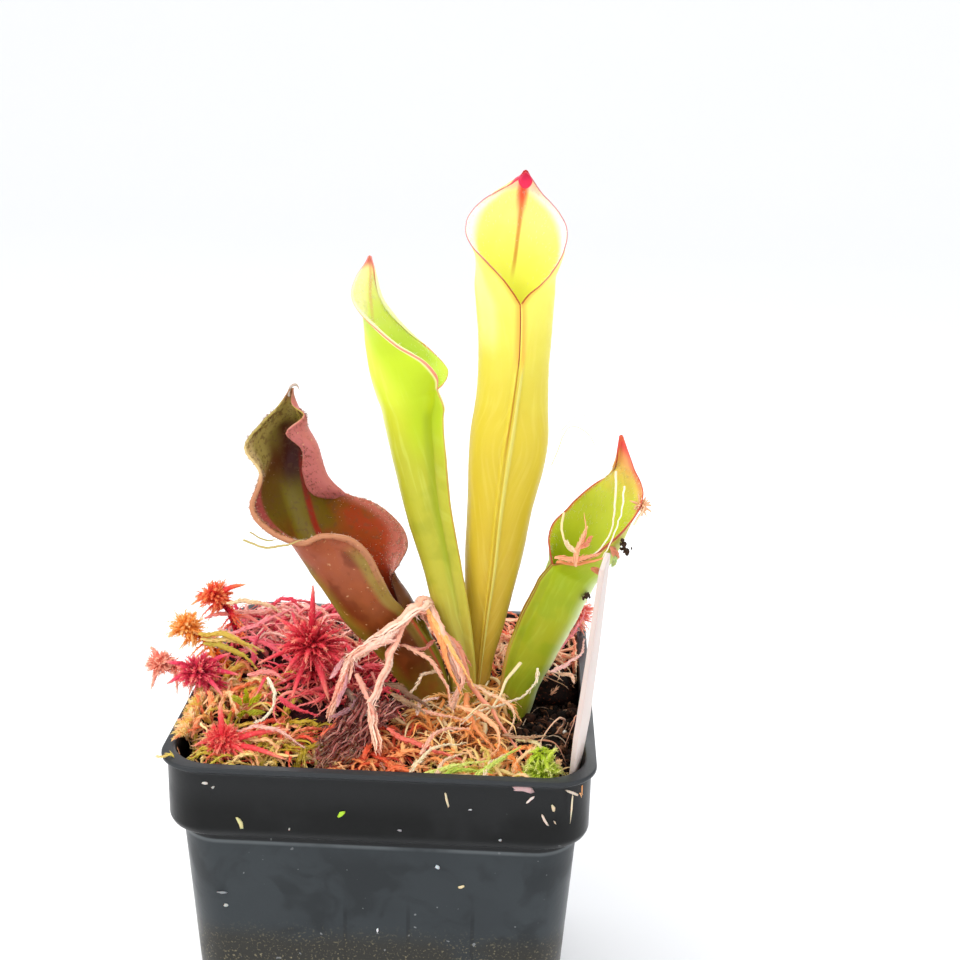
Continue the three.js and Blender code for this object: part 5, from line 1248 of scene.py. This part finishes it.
def make_head(name, spec, settings):
    """A sphagnum head: arms set round a core at the golden angle, drooping a little at their tips,
    a few long ones, short young shoots between them, and shoots that hang round the stem."""
    rnd = draws(spec["seed"])
    centre, reach = np.array(spec["at"], float), spec["reach"]
    paths, radii = [], []
    for k in range(spec["arms"]):
        height = 1 - 1.25 * (k + 0.5) / spec["arms"]
        turn = SOLID_GOLDEN * k + next(rnd) * 0.5
        flat = math.sqrt(1 - height * height)
        way = np.array([flat * math.cos(turn), flat * math.sin(turn), height])
        far = reach * (0.72 + 0.4 * next(rnd))
        paths.append([centre + way * far * s - (0, 0, drop)
                      for s, drop in ((0.2, 0), (0.62, 0), (1, 0.16 * reach))])
        radii.append(0.07 * reach + 0.2)
    for tip, radius in spec["long"]:
        paths.append([centre, (centre + tip) / 2 + (0, 0, 0.8), np.array(tip, float)])
        radii.append(radius * 0.95)
    arms = spline(np.array(paths), np.linspace(0, 2, 12))
    rng = np.random.default_rng(spec["seed"] * 7)
    pieces = shoots(arms, np.array(radii), settings.head_leaves, settings, rng, 34,
                    tint=rng.uniform(0, 1, len(arms)), size=0.85, sides=6, wide=0.3)
    for count, low, high, half, droop in ((92, 0.68, 0.92, 0.24, 0.06), (50, 0.3, 0.55, 0.26, 0)):
        k = np.arange(count)
        up = 1 - 1.3 * (k + 0.5) / count
        turn = k * GOLDEN + 0.4
        flat = np.sqrt(1 - up ** 2)
        ways = np.stack([flat * np.cos(turn), flat * np.sin(turn), up], -1)
        far = reach * rng.uniform(low, high, count)
        young = spindles(7, centre + ways * 0.4, ways, far, droop, rng)
        made = shoots(young, np.full(count, half + reach * 0.012), 14, settings, rng, 34,
                      tint=rng.uniform(0, 1, count), size=0.8, sides=4, wide=0.3)
        for piece in made:
            piece["fields"]["share"] = piece["fields"]["share"] * high
        pieces += made
    x, y = spec["foot"]
    stem = run_along([(x, y, SOIL_TOP + 3),
                      (centre[0] * 0.55 + x * 0.45, (centre[1] + y) / 2, max(centre[2] - 4, 83.8)),
                      centre], 14)
    count = 46
    roots = stem[0, rng.integers(3, 13, count)]
    ways = level_ways(count, -0.6, 0.5, rng)
    hung = spindles(8, roots, ways, rng.uniform(2.6, 5.2, count), 0.55, rng)
    pieces += shoots(hung, rng.uniform(0.3, 0.5, count), 18, settings, rng,
                     tint=rng.uniform(0, 1, count), size=0.9, sides=4)
    look = moss_material("sphagnum head, " + name[10:], palette(spec["colours"]),
                         spec["colours"][0], 0.8)
    dressed(name + "_arms", name, spec["slot"], pieces,
            [tubes(stem, np.full((1, 14), 0.7), 8, tint=0.1)], look)


def patch_outline(name):
    """The part of the peat nearest to a mat's spot, as a polygon: the peat's outline clipped by the
    line half-way to every other spot."""
    bound = COLLAR_HALF - POT_WALL - SEAT - 0.3
    polygon = [tuple(p) for p in rounded_square(bound, CORNER - 2, 5)]
    spot = np.array(MATS[name]["spot"], float)
    for other in [m["spot"] for key, m in MATS.items() if key != name] + [BARE_SPOT]:
        other = np.array(other, float)
        way = (other - spot) / np.linalg.norm(other - spot)
        limit = (other @ other - spot @ spot) / 2 / np.linalg.norm(other - spot) - SEAT * 0.75
        kept = []
        for p, q in zip(polygon, polygon[1:] + polygon[:1]):
            dp, dq = way @ p - limit, way @ q - limit
            if dp <= 0:
                kept.append(p)
            if (dp < 0 < dq) or (dq < 0 < dp):
                share = dp / (dp - dq)
                kept.append((p[0] + (q[0] - p[0]) * share, p[1] + (q[1] - p[1]) * share))
        polygon = kept
    ring = np.array(polygon + polygon[:1])
    lengths = np.concatenate([[0], np.cumsum(np.linalg.norm(np.diff(ring, axis=0), axis=1))])
    at = np.arange(SPOKES) * lengths[-1] / SPOKES
    return np.column_stack([np.interp(at, lengths, ring[:, k]) for k in (0, 1)])


def draped(paths, half):
    """Keeps strands inside the collar, low along the front and the back, and lays them over the lip
    on the left, where they are drawn in and kept above it."""
    x, y, z = paths[..., 0], paths[..., 1], paths[..., 2]
    y[:] = np.clip(y, -STRAND_HALF, STRAND_HALF)
    x[:] = np.where(x < -LEFT_LIP, -LEFT_LIP + (x + LEFT_LIP) * 0.45, np.minimum(x, STRAND_HALF))
    room = np.maximum(np.minimum(y + STRAND_HALF, REAR_CEILING - y), 0)
    z[:] = np.minimum(z, np.minimum(LOW_CEILING + 0.9 * room, 100))
    over = smooth((-x - LIP_LIFT) / 0.9)
    above = np.maximum(z, (POT_HEIGHT + half[:, None] + 0.2) * over + z * (1 - over))
    z[:] = np.where(over > 0, above, z)
    return paths


def outside_bare(paths):
    """Which strands keep clear of the open peat."""
    spots = paths[:, 2:, :2]
    return ~((spots > BARE_BOX[0]) & (spots < BARE_BOX[1])).all(axis=-1).any(axis=1)


def mat_cushion(spec, outline, crest, rnd):
    """The lumpy cushion of a mat: its patch carried up in rings that draw in, rounded and roughened
    by noise."""
    centre = outline.mean(axis=0)
    rings = [level(outline, SOIL_TOP + SEAT)]
    for share, high, lump in ((1, crest - 2.4, 1.2), (0.7, crest - 0.2, 2.6),
                              (0.34, crest + 0.2, 2.6)):
        rings.append(np.array([(*(centre + (p - centre) * share), high + lump * (next(rnd) - 0.5))
                               for p in outline]))
    wrapped = np.concatenate([np.stack(rings)] * 3, axis=1)
    around = np.moveaxis(spline(wrapped, SPOKES + np.arange(60) / 5), 0, 1)
    net = np.moveaxis(spline(around, np.concatenate([[0], np.linspace(1, 3, 14)])), 1, 0)
    net[1:] += ripple(net[1:], spec["seed"], 4)[..., None] * np.array([0.4, 0.4, 0.9])
    ends = [(*centre, z) for z in (SOIL_TOP + SEAT, crest)]
    return chunk(*capped(net, *ends), share=0.3, tint=0.2)


def thick_strands(spec, outline, crest, rnd):
    """The strands that the solid has: arches of random length and turn, kept inside the pot, moved
    a little by noise, and their half widths."""
    centre = outline.mean(axis=0)
    paths, half = [], []
    for _ in range(spec["strands"]):
        spoke = outline[int(next(rnd) * SPOKES)]
        root = centre + (spoke - centre) * (0.1 + 0.8 * next(rnd))
        turn = next(rnd) * 2 * math.pi
        reach = spec["reach"] * (0.55 + 0.5 * next(rnd))
        while np.max(np.abs(root + reach * np.array([math.cos(turn), math.sin(turn)]))) > SPAN:
            turn += 2.4
        rise = CORE_DROP * 0.4 + spec["rise"] * (0.2 + 0.75 * next(rnd))
        way = reach * np.array([math.cos(turn), math.sin(turn)])
        paths.append([(*(root + way * s), crest + z)
                      for s, z in ((0, -1.6), (0.25, rise * 0.8), (0.7, rise), (1, rise * 0.3))])
        half.append(0.95 + 0.4 * next(rnd))
    arches = spline(np.array(paths), np.linspace(0, 3, 14))
    return waved(arches, spec["seed"], 8, 0.7), np.array(half) * 0.62


def fine_strands(spec, outline, crest, count, rng):
    """The fine strands: each sets out level at a random turn that drifts, sways to the side by a
    sine and rises and falls by another. Gives the points of their paths."""
    centre = outline.mean(axis=0)
    one, other = outline[rng.integers(0, SPOKES, (2, count))]
    spoke = one * 0.5 + other * 0.5
    roots = centre + (spoke - centre) * np.sqrt(rng.random((count, 1))) * 1.05
    s = np.linspace(0, 1, 12)
    length = spec["length"] * rng.uniform(0.55, 1.35, count)[:, None]
    turn = rng.uniform(0, TURN, count)[:, None] + rng.uniform(-1.2, 1.2, count)[:, None] * s
    steps = np.stack([np.cos(turn), np.sin(turn)], -1) * (length / 11)[..., None]
    waves = rng.uniform(0.6, 2.0, count)[:, None] * TURN * s + rng.uniform(0, 6.28, count)[:, None]
    across = np.stack([-np.sin(turn), np.cos(turn)], -1)
    sway = spec["wave"] * 0.35 * np.sin(waves)[..., None] * across
    lift = (spec["rise"] * 0.9 + 1.8) * rng.uniform(0.35, 1.0, count)[:, None]
    high = crest - 1.0 + lift * np.sin(math.pi * np.minimum(s * 0.75 + 0.05, 0.8))
    high = high + spec["wave"] * 0.2 * np.cos(waves * 1.3)
    return np.concatenate([roots[:, None] + np.cumsum(steps, axis=1) + sway, high[..., None]], -1)


def make_mat(name, spec, settings):
    """A mat: a lumpy cushion on its patch, the thick strands that arch out of it, the fine ones,
    which wave along their way, short leafy shoots that stand up between them and, on the left,
    shoots that hang over the lip."""
    rnd = draws(spec["seed"])
    rng = np.random.default_rng(spec["seed"] * 5)
    outline = patch_outline(name)
    centre, crest = outline.mean(axis=0), spec["top"] - CORE_DROP
    cushion = mat_cushion(spec, outline, crest, rnd)
    thick, half = thick_strands(spec, outline, crest, rnd)
    pieces = shoots(thick, half, settings.strand_leaves, settings, rng, 16, 0.55,
                    rng.uniform(-2, 2, len(half)), rng.uniform(0, 1, len(half)), 1.3, 7)
    fine = fine_strands(spec, outline, crest, int(spec["fine"] * settings.fine), rng)
    fine = fine[outside_bare(fine)]
    count = len(fine)
    half = spec["half"] * rng.uniform(0.5, 1.15, count)
    fine = draped(fine, half)
    tint = rng.uniform(0, 1, count)
    twist = rng.uniform(-3, 3, count)
    leafy = rng.random(count) < spec["leafy"]
    pieces += shoots(fine[leafy], half[leafy], settings.fine_leaves, settings, rng, 22,
                     spec["flat"], twist[leafy], tint[leafy])
    pieces += shoots(fine[~leafy], half[~leafy] * 1.4, 8, settings, rng, 10, spec["flat"] * 0.6,
                     twist[~leafy] * 0.5, tint[~leafy], 0.7)
    count = int(spec["fine"] * settings.fine * 0.7)
    one, other = outline[rng.integers(0, SPOKES, (2, count))]
    spoke = one * 0.6 + other * 0.4
    share = np.sqrt(rng.random((count, 1)))
    roots = np.column_stack([centre + (spoke - centre) * share,
                             crest - 0.8 - 1.8 * share[:, 0] ** 3])
    ways = level_ways(count, 0.2, 1.3, rng)
    stubs = spindles(7, roots, ways, rng.uniform(2.4, 5.5, count), 0.35, rng)
    stubs = stubs[outside_bare(stubs)]
    half = rng.uniform(0.32, 0.55, len(stubs))
    pieces += shoots(draped(stubs, half), half, 16, settings, rng, 26,
                     tint=np.clip(rng.normal(0.45, 0.3, len(stubs)), 0, 1), sides=4)
    if name == "moss_mat_left":
        start, stop = np.array(LEFT_EDGE)
        count = int(4 * np.linalg.norm(stop - start))
        roots = level(start + (stop - start) * rng.random((count, 1)), 80.6)
        ways = unit(np.column_stack([-rng.uniform(0.2, 1.0, count), rng.normal(size=count) * 0.8,
                                     rng.uniform(0.1, 1.0, count)]))
        hung = spindles(9, roots, ways, rng.uniform(3, 8, count), 0.7, rng)
        half = rng.uniform(0.4, 0.8, count)
        pieces += shoots(draped(hung, half), half, 26, settings, rng, 22, 0.5,
                         rng.uniform(-2, 2, count), rng.uniform(0.3, 1, count), sides=4)
    look = moss_material("sphagnum mat, " + name[9:], palette(spec["colours"]), spec["painted_shade"], 0.15)
    dressed(name + "_strands", name, spec["slot"], pieces, [cushion], look)


def make_dead(settings):
    """The dead strands: the thick one is a bundle of ragged shoots wound round each run, and the
    one before it has worn down to fibres that fray along each run."""
    rng = np.random.default_rng(91)
    pieces, count, fringes = [], 7, 150
    for path, radius in DEAD_RUNS:
        run = run_along(path, 30)
        _, side, up = frames(run)
        angle = (np.arange(count)[:, None] * TURN / count + np.linspace(0, 3.2, 30)
                 + rng.uniform(-0.4, 0.4, (count, 1)))[..., None]
        wound = run + (side * np.cos(angle) + up * np.sin(angle)) * radius * 0.5
        wound = waved(wound + rng.normal(size=(count, 1, 3)) * 0.25, 20, 5, radius * 0.42)
        pieces += shoots(wound, radius * rng.uniform(0.4, 0.62, count), int(50 + 24 * radius),
                         settings, rng, 15, 0.45, rng.uniform(-2, 2, count),
                         rng.uniform(0, 1, count), 0.85, 7)
        spots = run[0, rng.integers(1, 29, fringes)]
        ways = unit(rng.normal(size=(fringes, 3)))
        fringe = spindles(5, spots, ways, radius * rng.uniform(0.8, 1.5, fringes), 0.3, rng)
        pieces.append(tubes(fringe, tapered(rng.uniform(0.06, 0.2, fringes), 5), 3, 0.5,
                            tint=rng.uniform(0.4, 1, fringes)))
    stops = [(0, "f2a088"), (0.3, "fab49c"), (0.6, "fdc8b0"), (1, "fee2d0")]
    dressed("dead_strand_leaves", "moss_strand_dead", "moss_peach", pieces, [],
            moss_material("sphagnum, dead, bleached", stops, "c88a70", 0.1))
    pieces, count, tufts = [], 28, 40
    for path, radius in FLUFF_RUNS:
        run = run_along(path, 16)
        pieces.append(tubes(run, tapered([radius * 0.6], 16), 8, 0.7, 0.4, 0.1))
        s = np.linspace(0, 1, 16)[None, :, None]
        shift = rng.normal(size=(count, 1, 3)) * radius * 0.42
        fan = rng.normal(size=(count, 1, 3)) * (0.1 + 0.9 * s) * radius * 0.4
        curl = np.sin(7 * s + rng.uniform(0, 6, (count, 1, 3))) * 0.55
        hairs = waved(run + shift + fan + curl, 40, 4, 0.5)
        hairs[..., 1:] = np.maximum(hairs[..., 1:], (-43.5, 79.4))
        pieces.append(tubes(hairs, tapered(rng.uniform(0.14, 0.5, count), 16), 5, 0.4,
                            rng.uniform(-2, 2, count), rng.uniform(0, 1, count)))
        spots = run[0, rng.integers(1, 15, tufts)] + rng.normal(size=(tufts, 3)) * radius * 0.4
        ways = unit(rng.normal(size=(tufts, 3)) + (0, 0, 0.6))
        short = spindles(7, spots, ways, rng.uniform(1.5, 4, tufts), 0.4, rng)
        pieces += shoots(short, rng.uniform(0.16, 0.34, tufts), 12, settings, rng,
                         tint=rng.uniform(0.2, 1, tufts), size=0.8, sides=4)
    stops = [(0, "421610"), (0.35, "6c302a"), (0.7, "9c544e"), (1, "c4867e")]
    dressed("dead_fibre_bundle", "moss_fluff_dead", "moss_mauve", pieces, [],
            moss_material("sphagnum fibre, bleached", stops, "44201a", 0.1, 0.3))


# Litter


def coloured(piece, hexa):
    """Stores one colour on a chunk's points."""
    red, green, blue = (np.full(len(piece["points"]), v) for v in linear(hexa)[:3])
    piece["fields"] = {"red": red, "green": green, "blue": blue}
    return piece


def wall_front(z):
    """How far the pot's front stands out at a height: the collar above its foot, else the wall."""
    wall = WALL_BOTTOM_HALF + (WALL_TOP_HALF - WALL_BOTTOM_HALF) * z / COLLAR_FOOT
    return np.where(z > COLLAR_FOOT + 1, COLLAR_HALF, wall)


def make_litter(settings):
    """Bits that watering left on the pot's front, loose fibres over the small pitcher and the peat,
    a star of dead moss on its rim and some crumbs: flattened balls, thin tubes and cones."""
    chunks = []
    for number, ((x, z), length, width, turn, hexa) in enumerate(LITTER):
        flake = blobs([(0, 0, 0)], [1], 300 + number)
        across, out, up = (flake["points"] * (length / 2, 0.22, width / 2)).T
        up = up + 0.15 * width * np.sin(across * 1.4 + number)
        cos, sin = math.cos(math.radians(turn)), math.sin(math.radians(turn))
        turned = np.stack([across * cos - up * sin, out, across * sin + up * cos], -1)
        flake["points"] = turned + (x, -float(wall_front(z)) - 0.1, z)
        chunks.append(coloured(flake, hexa))
    rng = np.random.default_rng(101)
    for path, half, hexa in FIBRES:
        run = waved(run_along(path, 26), 7, 5, 0.25)
        chunks.append(coloured(tubes(run, tapered([half], 26), 6, 0.7, 2.0), hexa))
    for path, half, hexa in STRANDS:
        run = waved(run_along(path, 26), 17, 7, 0.4)
        chunks += [coloured(p, hexa) for p in shoots(run, [half * 0.9], 64, settings, rng, 15, 0.4,
                                                     2.5, 0.5, 1.1, 7)]
    count = 34
    way = unit(rng.normal(size=(count, 3)) + (0, -0.6, 0))
    far = np.linspace(0, 1, 6)[None, :, None] * STAR["reach"] * rng.uniform(0.4, 1, (count, 1, 1))
    arms = np.array(STAR["at"]) + way[:, None] * far
    arms[..., 0] = np.minimum(arms[..., 0], 55.2)
    star = tubes(arms, tapered(np.full(count, 0.32), 6), 4)
    chunks.append(coloured(star, STAR["colour"]))
    spots = np.concatenate([np.array(at) + rng.normal(size=(9, 3)) * size * 0.4
                            for at, size in CRUMB_SPOTS])
    sizes = np.repeat([size * 0.42 for _, size in CRUMB_SPOTS], 9) * rng.uniform(0.5, 1.2, 27)
    chunks.append(coloured(blobs(spots, sizes, 102), "3a2a1e"))
    surface("loose_litter", chunks, "moss_peach", None,
            tinted_material("plant litter, dry", 0.7, 0.2))


# Label


def make_label(settings):
    """The label: a plate with a point, its outline drawn in a little toward both faces so that the
    edges are round, its upper half turned a little about its length."""
    half, length, point, thick = LABEL_HALF, LABEL_LENGTH, LABEL_POINT, LABEL_THICK
    angle = np.radians(np.linspace(0, 90, 7))
    corner = np.stack([np.cos(angle), np.sin(angle)], -1) * LABEL_CORNER
    right = np.concatenate([[(0, 0), (half * 0.5, point * 0.5), (half - 0.15, point - 0.6),
                             (half, point), (half, 40.0)],
                            (half - LABEL_CORNER, length - LABEL_CORNER) + corner])
    outline = np.concatenate([right, (right * (-1, 1))[:0:-1]])
    way = unit(np.roll(outline, -1, axis=0) - np.roll(outline, 1, axis=0))
    inward = np.stack([-way[:, 1], way[:, 0]], -1)
    faces = [(-thick, 0.24), (-0.5, 0.09), (-0.38, 0), (0.38, 0), (0.5, 0.09), (thick, 0.24)]
    rings = np.stack([level(outline + inward * draw, y)[:, [0, 2, 1]] for y, draw in faces])
    points, quads, fans = capped(rings, (0, -thick, length / 2), (0, thick, length / 2))
    x, y, z = points.T
    lean = math.radians(5) * smooth((z - 26) / 30)
    bend = 1.3 * (z / length) ** 2
    points = np.stack([x * np.cos(lean) - y * np.sin(lean),
                       x * np.sin(lean) + y * np.cos(lean) + (bend - 0.4 * z / length), z], -1)
    place = Matrix.Translation(LABEL_AT)
    for degrees, axis in LABEL_TURNS:
        place = place @ Matrix.Rotation(math.radians(degrees), 4, axis)
    points = points @ np.array(place.to_3x3()).T + np.array(place.translation)
    surface("label_plate", [chunk(points, quads[:, ::-1], fans[:, [0, 2, 1]])], "label_plastic",
            "plant_label", label_plastic(settings))


def label_plastic(settings):
    """Extruded polystyrene label stock: white, warm and faintly pink, satin, a little light passing
    through it."""
    material, tree, fields = finish_of("polystyrene, extruded, satin white", (),
                                       (("soft", 14, 2), ("grain", 0.7, 2)), Roughness=0.42,
                                       Subsurface_Weight=0.12, Subsurface_Scale=1.0 * MM)
    fields["height"] = node(tree, "SeparateXYZ", {0: fields["place"]})[2]
    colour = node(tree, "Mix", {0: fields["soft"], 6: tuple(settings.plastic),
                                7: linear("c6b4ac")}, data_type="RGBA")[2]
    return paint(material, fields, colour,
                 [("b9a68c", 0.5, ("height", 0.090, 0.078), ("grain", 0.45, 0.65))],
                 [("grain", 0.2, 0.03)])


# Settings, operators and panel


class PotSettings(bpy.types.PropertyGroup):
    """Looks of the pot."""
    plastic: FloatVectorProperty(name="Plastic", description="Colour of the pot's plastic",
                                 default=linear("292d30"), size=4, min=0, max=1, subtype="COLOR")
    worn: FloatVectorProperty(name="Worn plastic", description="Colour where it is scuffed",
                              default=linear("373c3f"), size=4, min=0, max=1, subtype="COLOR")
    dust: FloatProperty(name="Dust", description="How much dust and splash shows on the wall",
                        default=0.55, min=0, max=1, subtype="FACTOR")


class PeatSettings(bpy.types.PropertyGroup):
    """Looks of the peat."""
    crumbs: IntProperty(name="Crumbs", description="Crumbs on the patch that no moss covers",
                        default=700, min=0, max=3000)


class PitcherSettings(bpy.types.PropertyGroup):
    """Sizes of the pitchers."""
    wall: FloatProperty(name="Wall", description="Thickness of a pitcher's wall",
                        default=0.9 * MM, min=0.4 * MM, max=1.4 * MM, precision=5, unit="LENGTH")
    hairs: FloatProperty(name="Throat hairs", description="Share of the hairs that are made",
                         default=1.0, min=0, max=4, subtype="FACTOR")


class MossSettings(bpy.types.PropertyGroup):
    """Sizes of the moss."""
    leaf: FloatProperty(name="Leaf", description="Length of a moss leaf", default=1.1 * MM,
                        min=0.3 * MM, max=3 * MM, precision=5, unit="LENGTH")
    head_leaves: IntProperty(name="Leaves on an arm", description="Leaves on each arm of a head",
                             default=42, min=4, max=100)
    strand_leaves: IntProperty(name="Leaves on a strand", description="Leaves on each thick strand",
                               default=54, min=4, max=160)
    fine_leaves: IntProperty(name="Leaves on a fine strand", description="Leaves on each of them",
                             default=30, min=4, max=100)
    fine: FloatProperty(name="Fine strands", description="Share of the fine strands that are made",
                        default=0.95, min=0, max=1.5, subtype="FACTOR")


class LabelSettings(bpy.types.PropertyGroup):
    """Looks of the label."""
    plastic: FloatVectorProperty(name="Plastic", description="Colour of the bare label",
                                 default=linear("d0c0b8"), size=4, min=0, max=1, subtype="COLOR")


class StageSettings(bpy.types.PropertyGroup):
    """The floor and the light."""
    floor: FloatVectorProperty(name="Floor", description="Colour of the floor",
                               default=linear("fafafb"), size=4, min=0, max=1, subtype="COLOR")
    power: FloatProperty(name="Light", description="Power of the main light, in watts",
                         default=3.2, min=0, max=50)


class OBJECT_OT_sun_pitcher_pot(bpy.types.Operator):
    """Make the nursery pot"""
    bl_idname = "object.sun_pitcher_pot"
    bl_label = "Make the pot"

    def execute(self, context):
        make_pot(context.scene.sun_pitcher_pot)
        return {"FINISHED"}


class OBJECT_OT_sun_pitcher_peat(bpy.types.Operator):
    """Make the peat with its crumbs"""
    bl_idname = "object.sun_pitcher_peat"
    bl_label = "Make the peat"

    def execute(self, context):
        make_peat(context.scene.sun_pitcher_peat)
        return {"FINISHED"}


class OBJECT_OT_sun_pitcher_pitchers(bpy.types.Operator):
    """Make the four pitcher leaves and their hairs"""
    bl_idname = "object.sun_pitcher_pitchers"
    bl_label = "Make the pitchers"

    def execute(self, context):
        settings = context.scene.sun_pitcher_leaves
        for number, (name, spec) in enumerate(PITCHERS.items()):
            make_pitcher(name, spec, 11 + number, settings)
        make_hairs(settings)
        return {"FINISHED"}


class OBJECT_OT_sun_pitcher_heads(bpy.types.Operator):
    """Make the heads of the moss"""
    bl_idname = "object.sun_pitcher_heads"
    bl_label = "Make the moss heads"

    def execute(self, context):
        for name, spec in HEADS.items():
            make_head(name, spec, context.scene.sun_pitcher_moss)
        return {"FINISHED"}


class OBJECT_OT_sun_pitcher_mats(bpy.types.Operator):
    """Make the mats of moss and the dead strands"""
    bl_idname = "object.sun_pitcher_mats"
    bl_label = "Make the moss mats"

    def execute(self, context):
        for name, spec in MATS.items():
            make_mat(name, spec, context.scene.sun_pitcher_moss)
        make_dead(context.scene.sun_pitcher_moss)
        return {"FINISHED"}


class OBJECT_OT_sun_pitcher_label(bpy.types.Operator):
    """Make the bare plant label"""
    bl_idname = "object.sun_pitcher_label"
    bl_label = "Make the label"

    def execute(self, context):
        make_label(context.scene.sun_pitcher_label)
        return {"FINISHED"}


class OBJECT_OT_sun_pitcher_litter(bpy.types.Operator):
    """Make the litter on the pot and the loose fibres"""
    bl_idname = "object.sun_pitcher_litter"
    bl_label = "Make the litter"

    def execute(self, context):
        make_litter(context.scene.sun_pitcher_moss)
        return {"FINISHED"}


class OBJECT_OT_sun_pitcher_stage(bpy.types.Operator):
    """Make the floor, the lights and the camera"""
    bl_idname = "object.sun_pitcher_stage"
    bl_label = "Make the stage"

    def execute(self, context):
        make_stage(context.scene, context.scene.sun_pitcher_stage_look)
        return {"FINISHED"}


class VIEW3D_PT_sun_pitcher(bpy.types.Panel):
    """Lists the pieces and their settings"""
    bl_label = "Sun pitcher"
    bl_idname = "VIEW3D_PT_sun_pitcher"
    bl_space_type = "VIEW_3D"
    bl_region_type = "UI"
    bl_category = "Sun pitcher"

    def draw(self, context):
        for key, operators in PANEL_ROWS:
            box = self.layout.box()
            group = getattr(context.scene, key, None)
            for prop in getattr(group, "__annotations__", {}):
                box.prop(group, prop)
            for operator in operators:
                box.operator(operator.bl_idname)


def make_stage(scene, settings):
    """A white studio: a floor that sweeps up into a backdrop, an even white surround, a large soft
    light from the upper left, a weaker one from the right and one from behind, and the camera where
    the photograph was taken from."""
    bend = np.radians(np.linspace(0, 90, 25))
    depth = np.concatenate([[-3000], 1500 + 1500 * np.sin(bend), [3000]])
    height = np.concatenate([[0], 1500 - 1500 * np.cos(bend), [5000]])
    sweep = np.stack([np.column_stack([np.full(27, x), depth, height]) for x in (5000, -5000)], 1)
    faces = grid_faces(27, 2)
    mesh = bpy.data.meshes.new("floor")
    mesh.from_pydata((sweep.reshape(-1, 3) * MM).tolist(), [], faces.tolist())
    mesh.polygons.foreach_set("use_smooth", np.full(len(faces), True))
    material, tree, fields = finish_of("paper, matt white", (), (("soft", 250, 2),), Roughness=0.9)
    colour = node(tree, "Mix", {0: fields["soft"], 6: tuple(settings.floor),
                                7: linear("f8f9fa")}, data_type="RGBA")[2]
    mesh.materials.append(paint(material, fields, colour))
    floor = bpy.data.objects.new("floor", mesh)
    scene.collection.objects.link(floor)
    scene.world = bpy.data.worlds.new("Studio")
    scene.world.use_nodes = True
    surround = scene.world.node_tree.nodes["Background"].inputs
    surround["Color"].default_value, surround["Strength"].default_value = linear("fcfdff"), 1.055
    for name, at, size, share, hexa in (("key", (-420, -360, 620), 420, 1, "fffdf8"),
                                        ("fill", (560, -420, 300), 500, 0.3, "f4f8ff"),
                                        ("back", (80, 620, 420), 500, 0.5, "ffffff")):
        lamp = bpy.data.lights.new(name, "AREA")
        lamp.energy, lamp.size, lamp.color = settings.power * share, size * MM, linear(hexa)[:3]
        light = bpy.data.objects.new(name, lamp)
        place = Vector(at) * MM
        aim = (Vector((0, 0, 0.1)) - place).to_track_quat("-Z", "Y")
        light.matrix_world = Matrix.Translation(place) @ aim.to_matrix().to_4x4()
        scene.collection.objects.link(light)
    camera = bpy.data.objects.new("camera", bpy.data.cameras.new("camera"))
    camera.data.sensor_width, camera.data.lens = 36, LENS
    camera.data.clip_start, camera.data.clip_end = 0.01, 20
    yaw, pitch, roll = (math.radians(v) for v in (CAMERA_YAW, CAMERA_PITCH, CAMERA_ROLL))
    camera.matrix_world = (Matrix.Translation(Vector(CAMERA_AT) * MM) @ Matrix.Rotation(yaw, 4, "Z")
                           @ Matrix.Rotation(math.pi / 2 - pitch, 4, "X")
                           @ Matrix.Rotation(roll, 4, "Z"))
    scene.collection.objects.link(camera)
    scene.camera = camera
    scene.view_settings.view_transform = "Standard"


OPERATORS = (
    OBJECT_OT_sun_pitcher_pot, OBJECT_OT_sun_pitcher_peat, OBJECT_OT_sun_pitcher_pitchers,
    OBJECT_OT_sun_pitcher_heads, OBJECT_OT_sun_pitcher_mats, OBJECT_OT_sun_pitcher_label,
    OBJECT_OT_sun_pitcher_litter, OBJECT_OT_sun_pitcher_stage,
)
GROUPS = {
    "sun_pitcher_pot": PotSettings, "sun_pitcher_peat": PeatSettings,
    "sun_pitcher_leaves": PitcherSettings, "sun_pitcher_moss": MossSettings,
    "sun_pitcher_label": LabelSettings, "sun_pitcher_stage_look": StageSettings,
}
PANEL_ROWS = (
    ("sun_pitcher_pot", OPERATORS[:1]), ("sun_pitcher_peat", OPERATORS[1:2]),
    ("sun_pitcher_leaves", OPERATORS[2:3]), ("sun_pitcher_moss", OPERATORS[3:5]),
    ("sun_pitcher_label", OPERATORS[5:6]), ("", OPERATORS[6:7]),
    ("sun_pitcher_stage_look", OPERATORS[7:]),
)


def register():
    for cls in (*GROUPS.values(), *OPERATORS, VIEW3D_PT_sun_pitcher):
        bpy.utils.register_class(cls)
    for key, group in GROUPS.items():
        setattr(bpy.types.Scene, key, PointerProperty(type=group))


def unregister():
    for key in GROUPS:
        delattr(bpy.types.Scene, key)
    for cls in (VIEW3D_PT_sun_pitcher, *reversed(OPERATORS), *reversed(GROUPS.values())):
        bpy.utils.unregister_class(cls)


def main():
    register()
    for operator in OPERATORS:
        getattr(bpy.ops.object, operator.bl_idname.split(".")[1])()


if __name__ == "__main__":
    main()
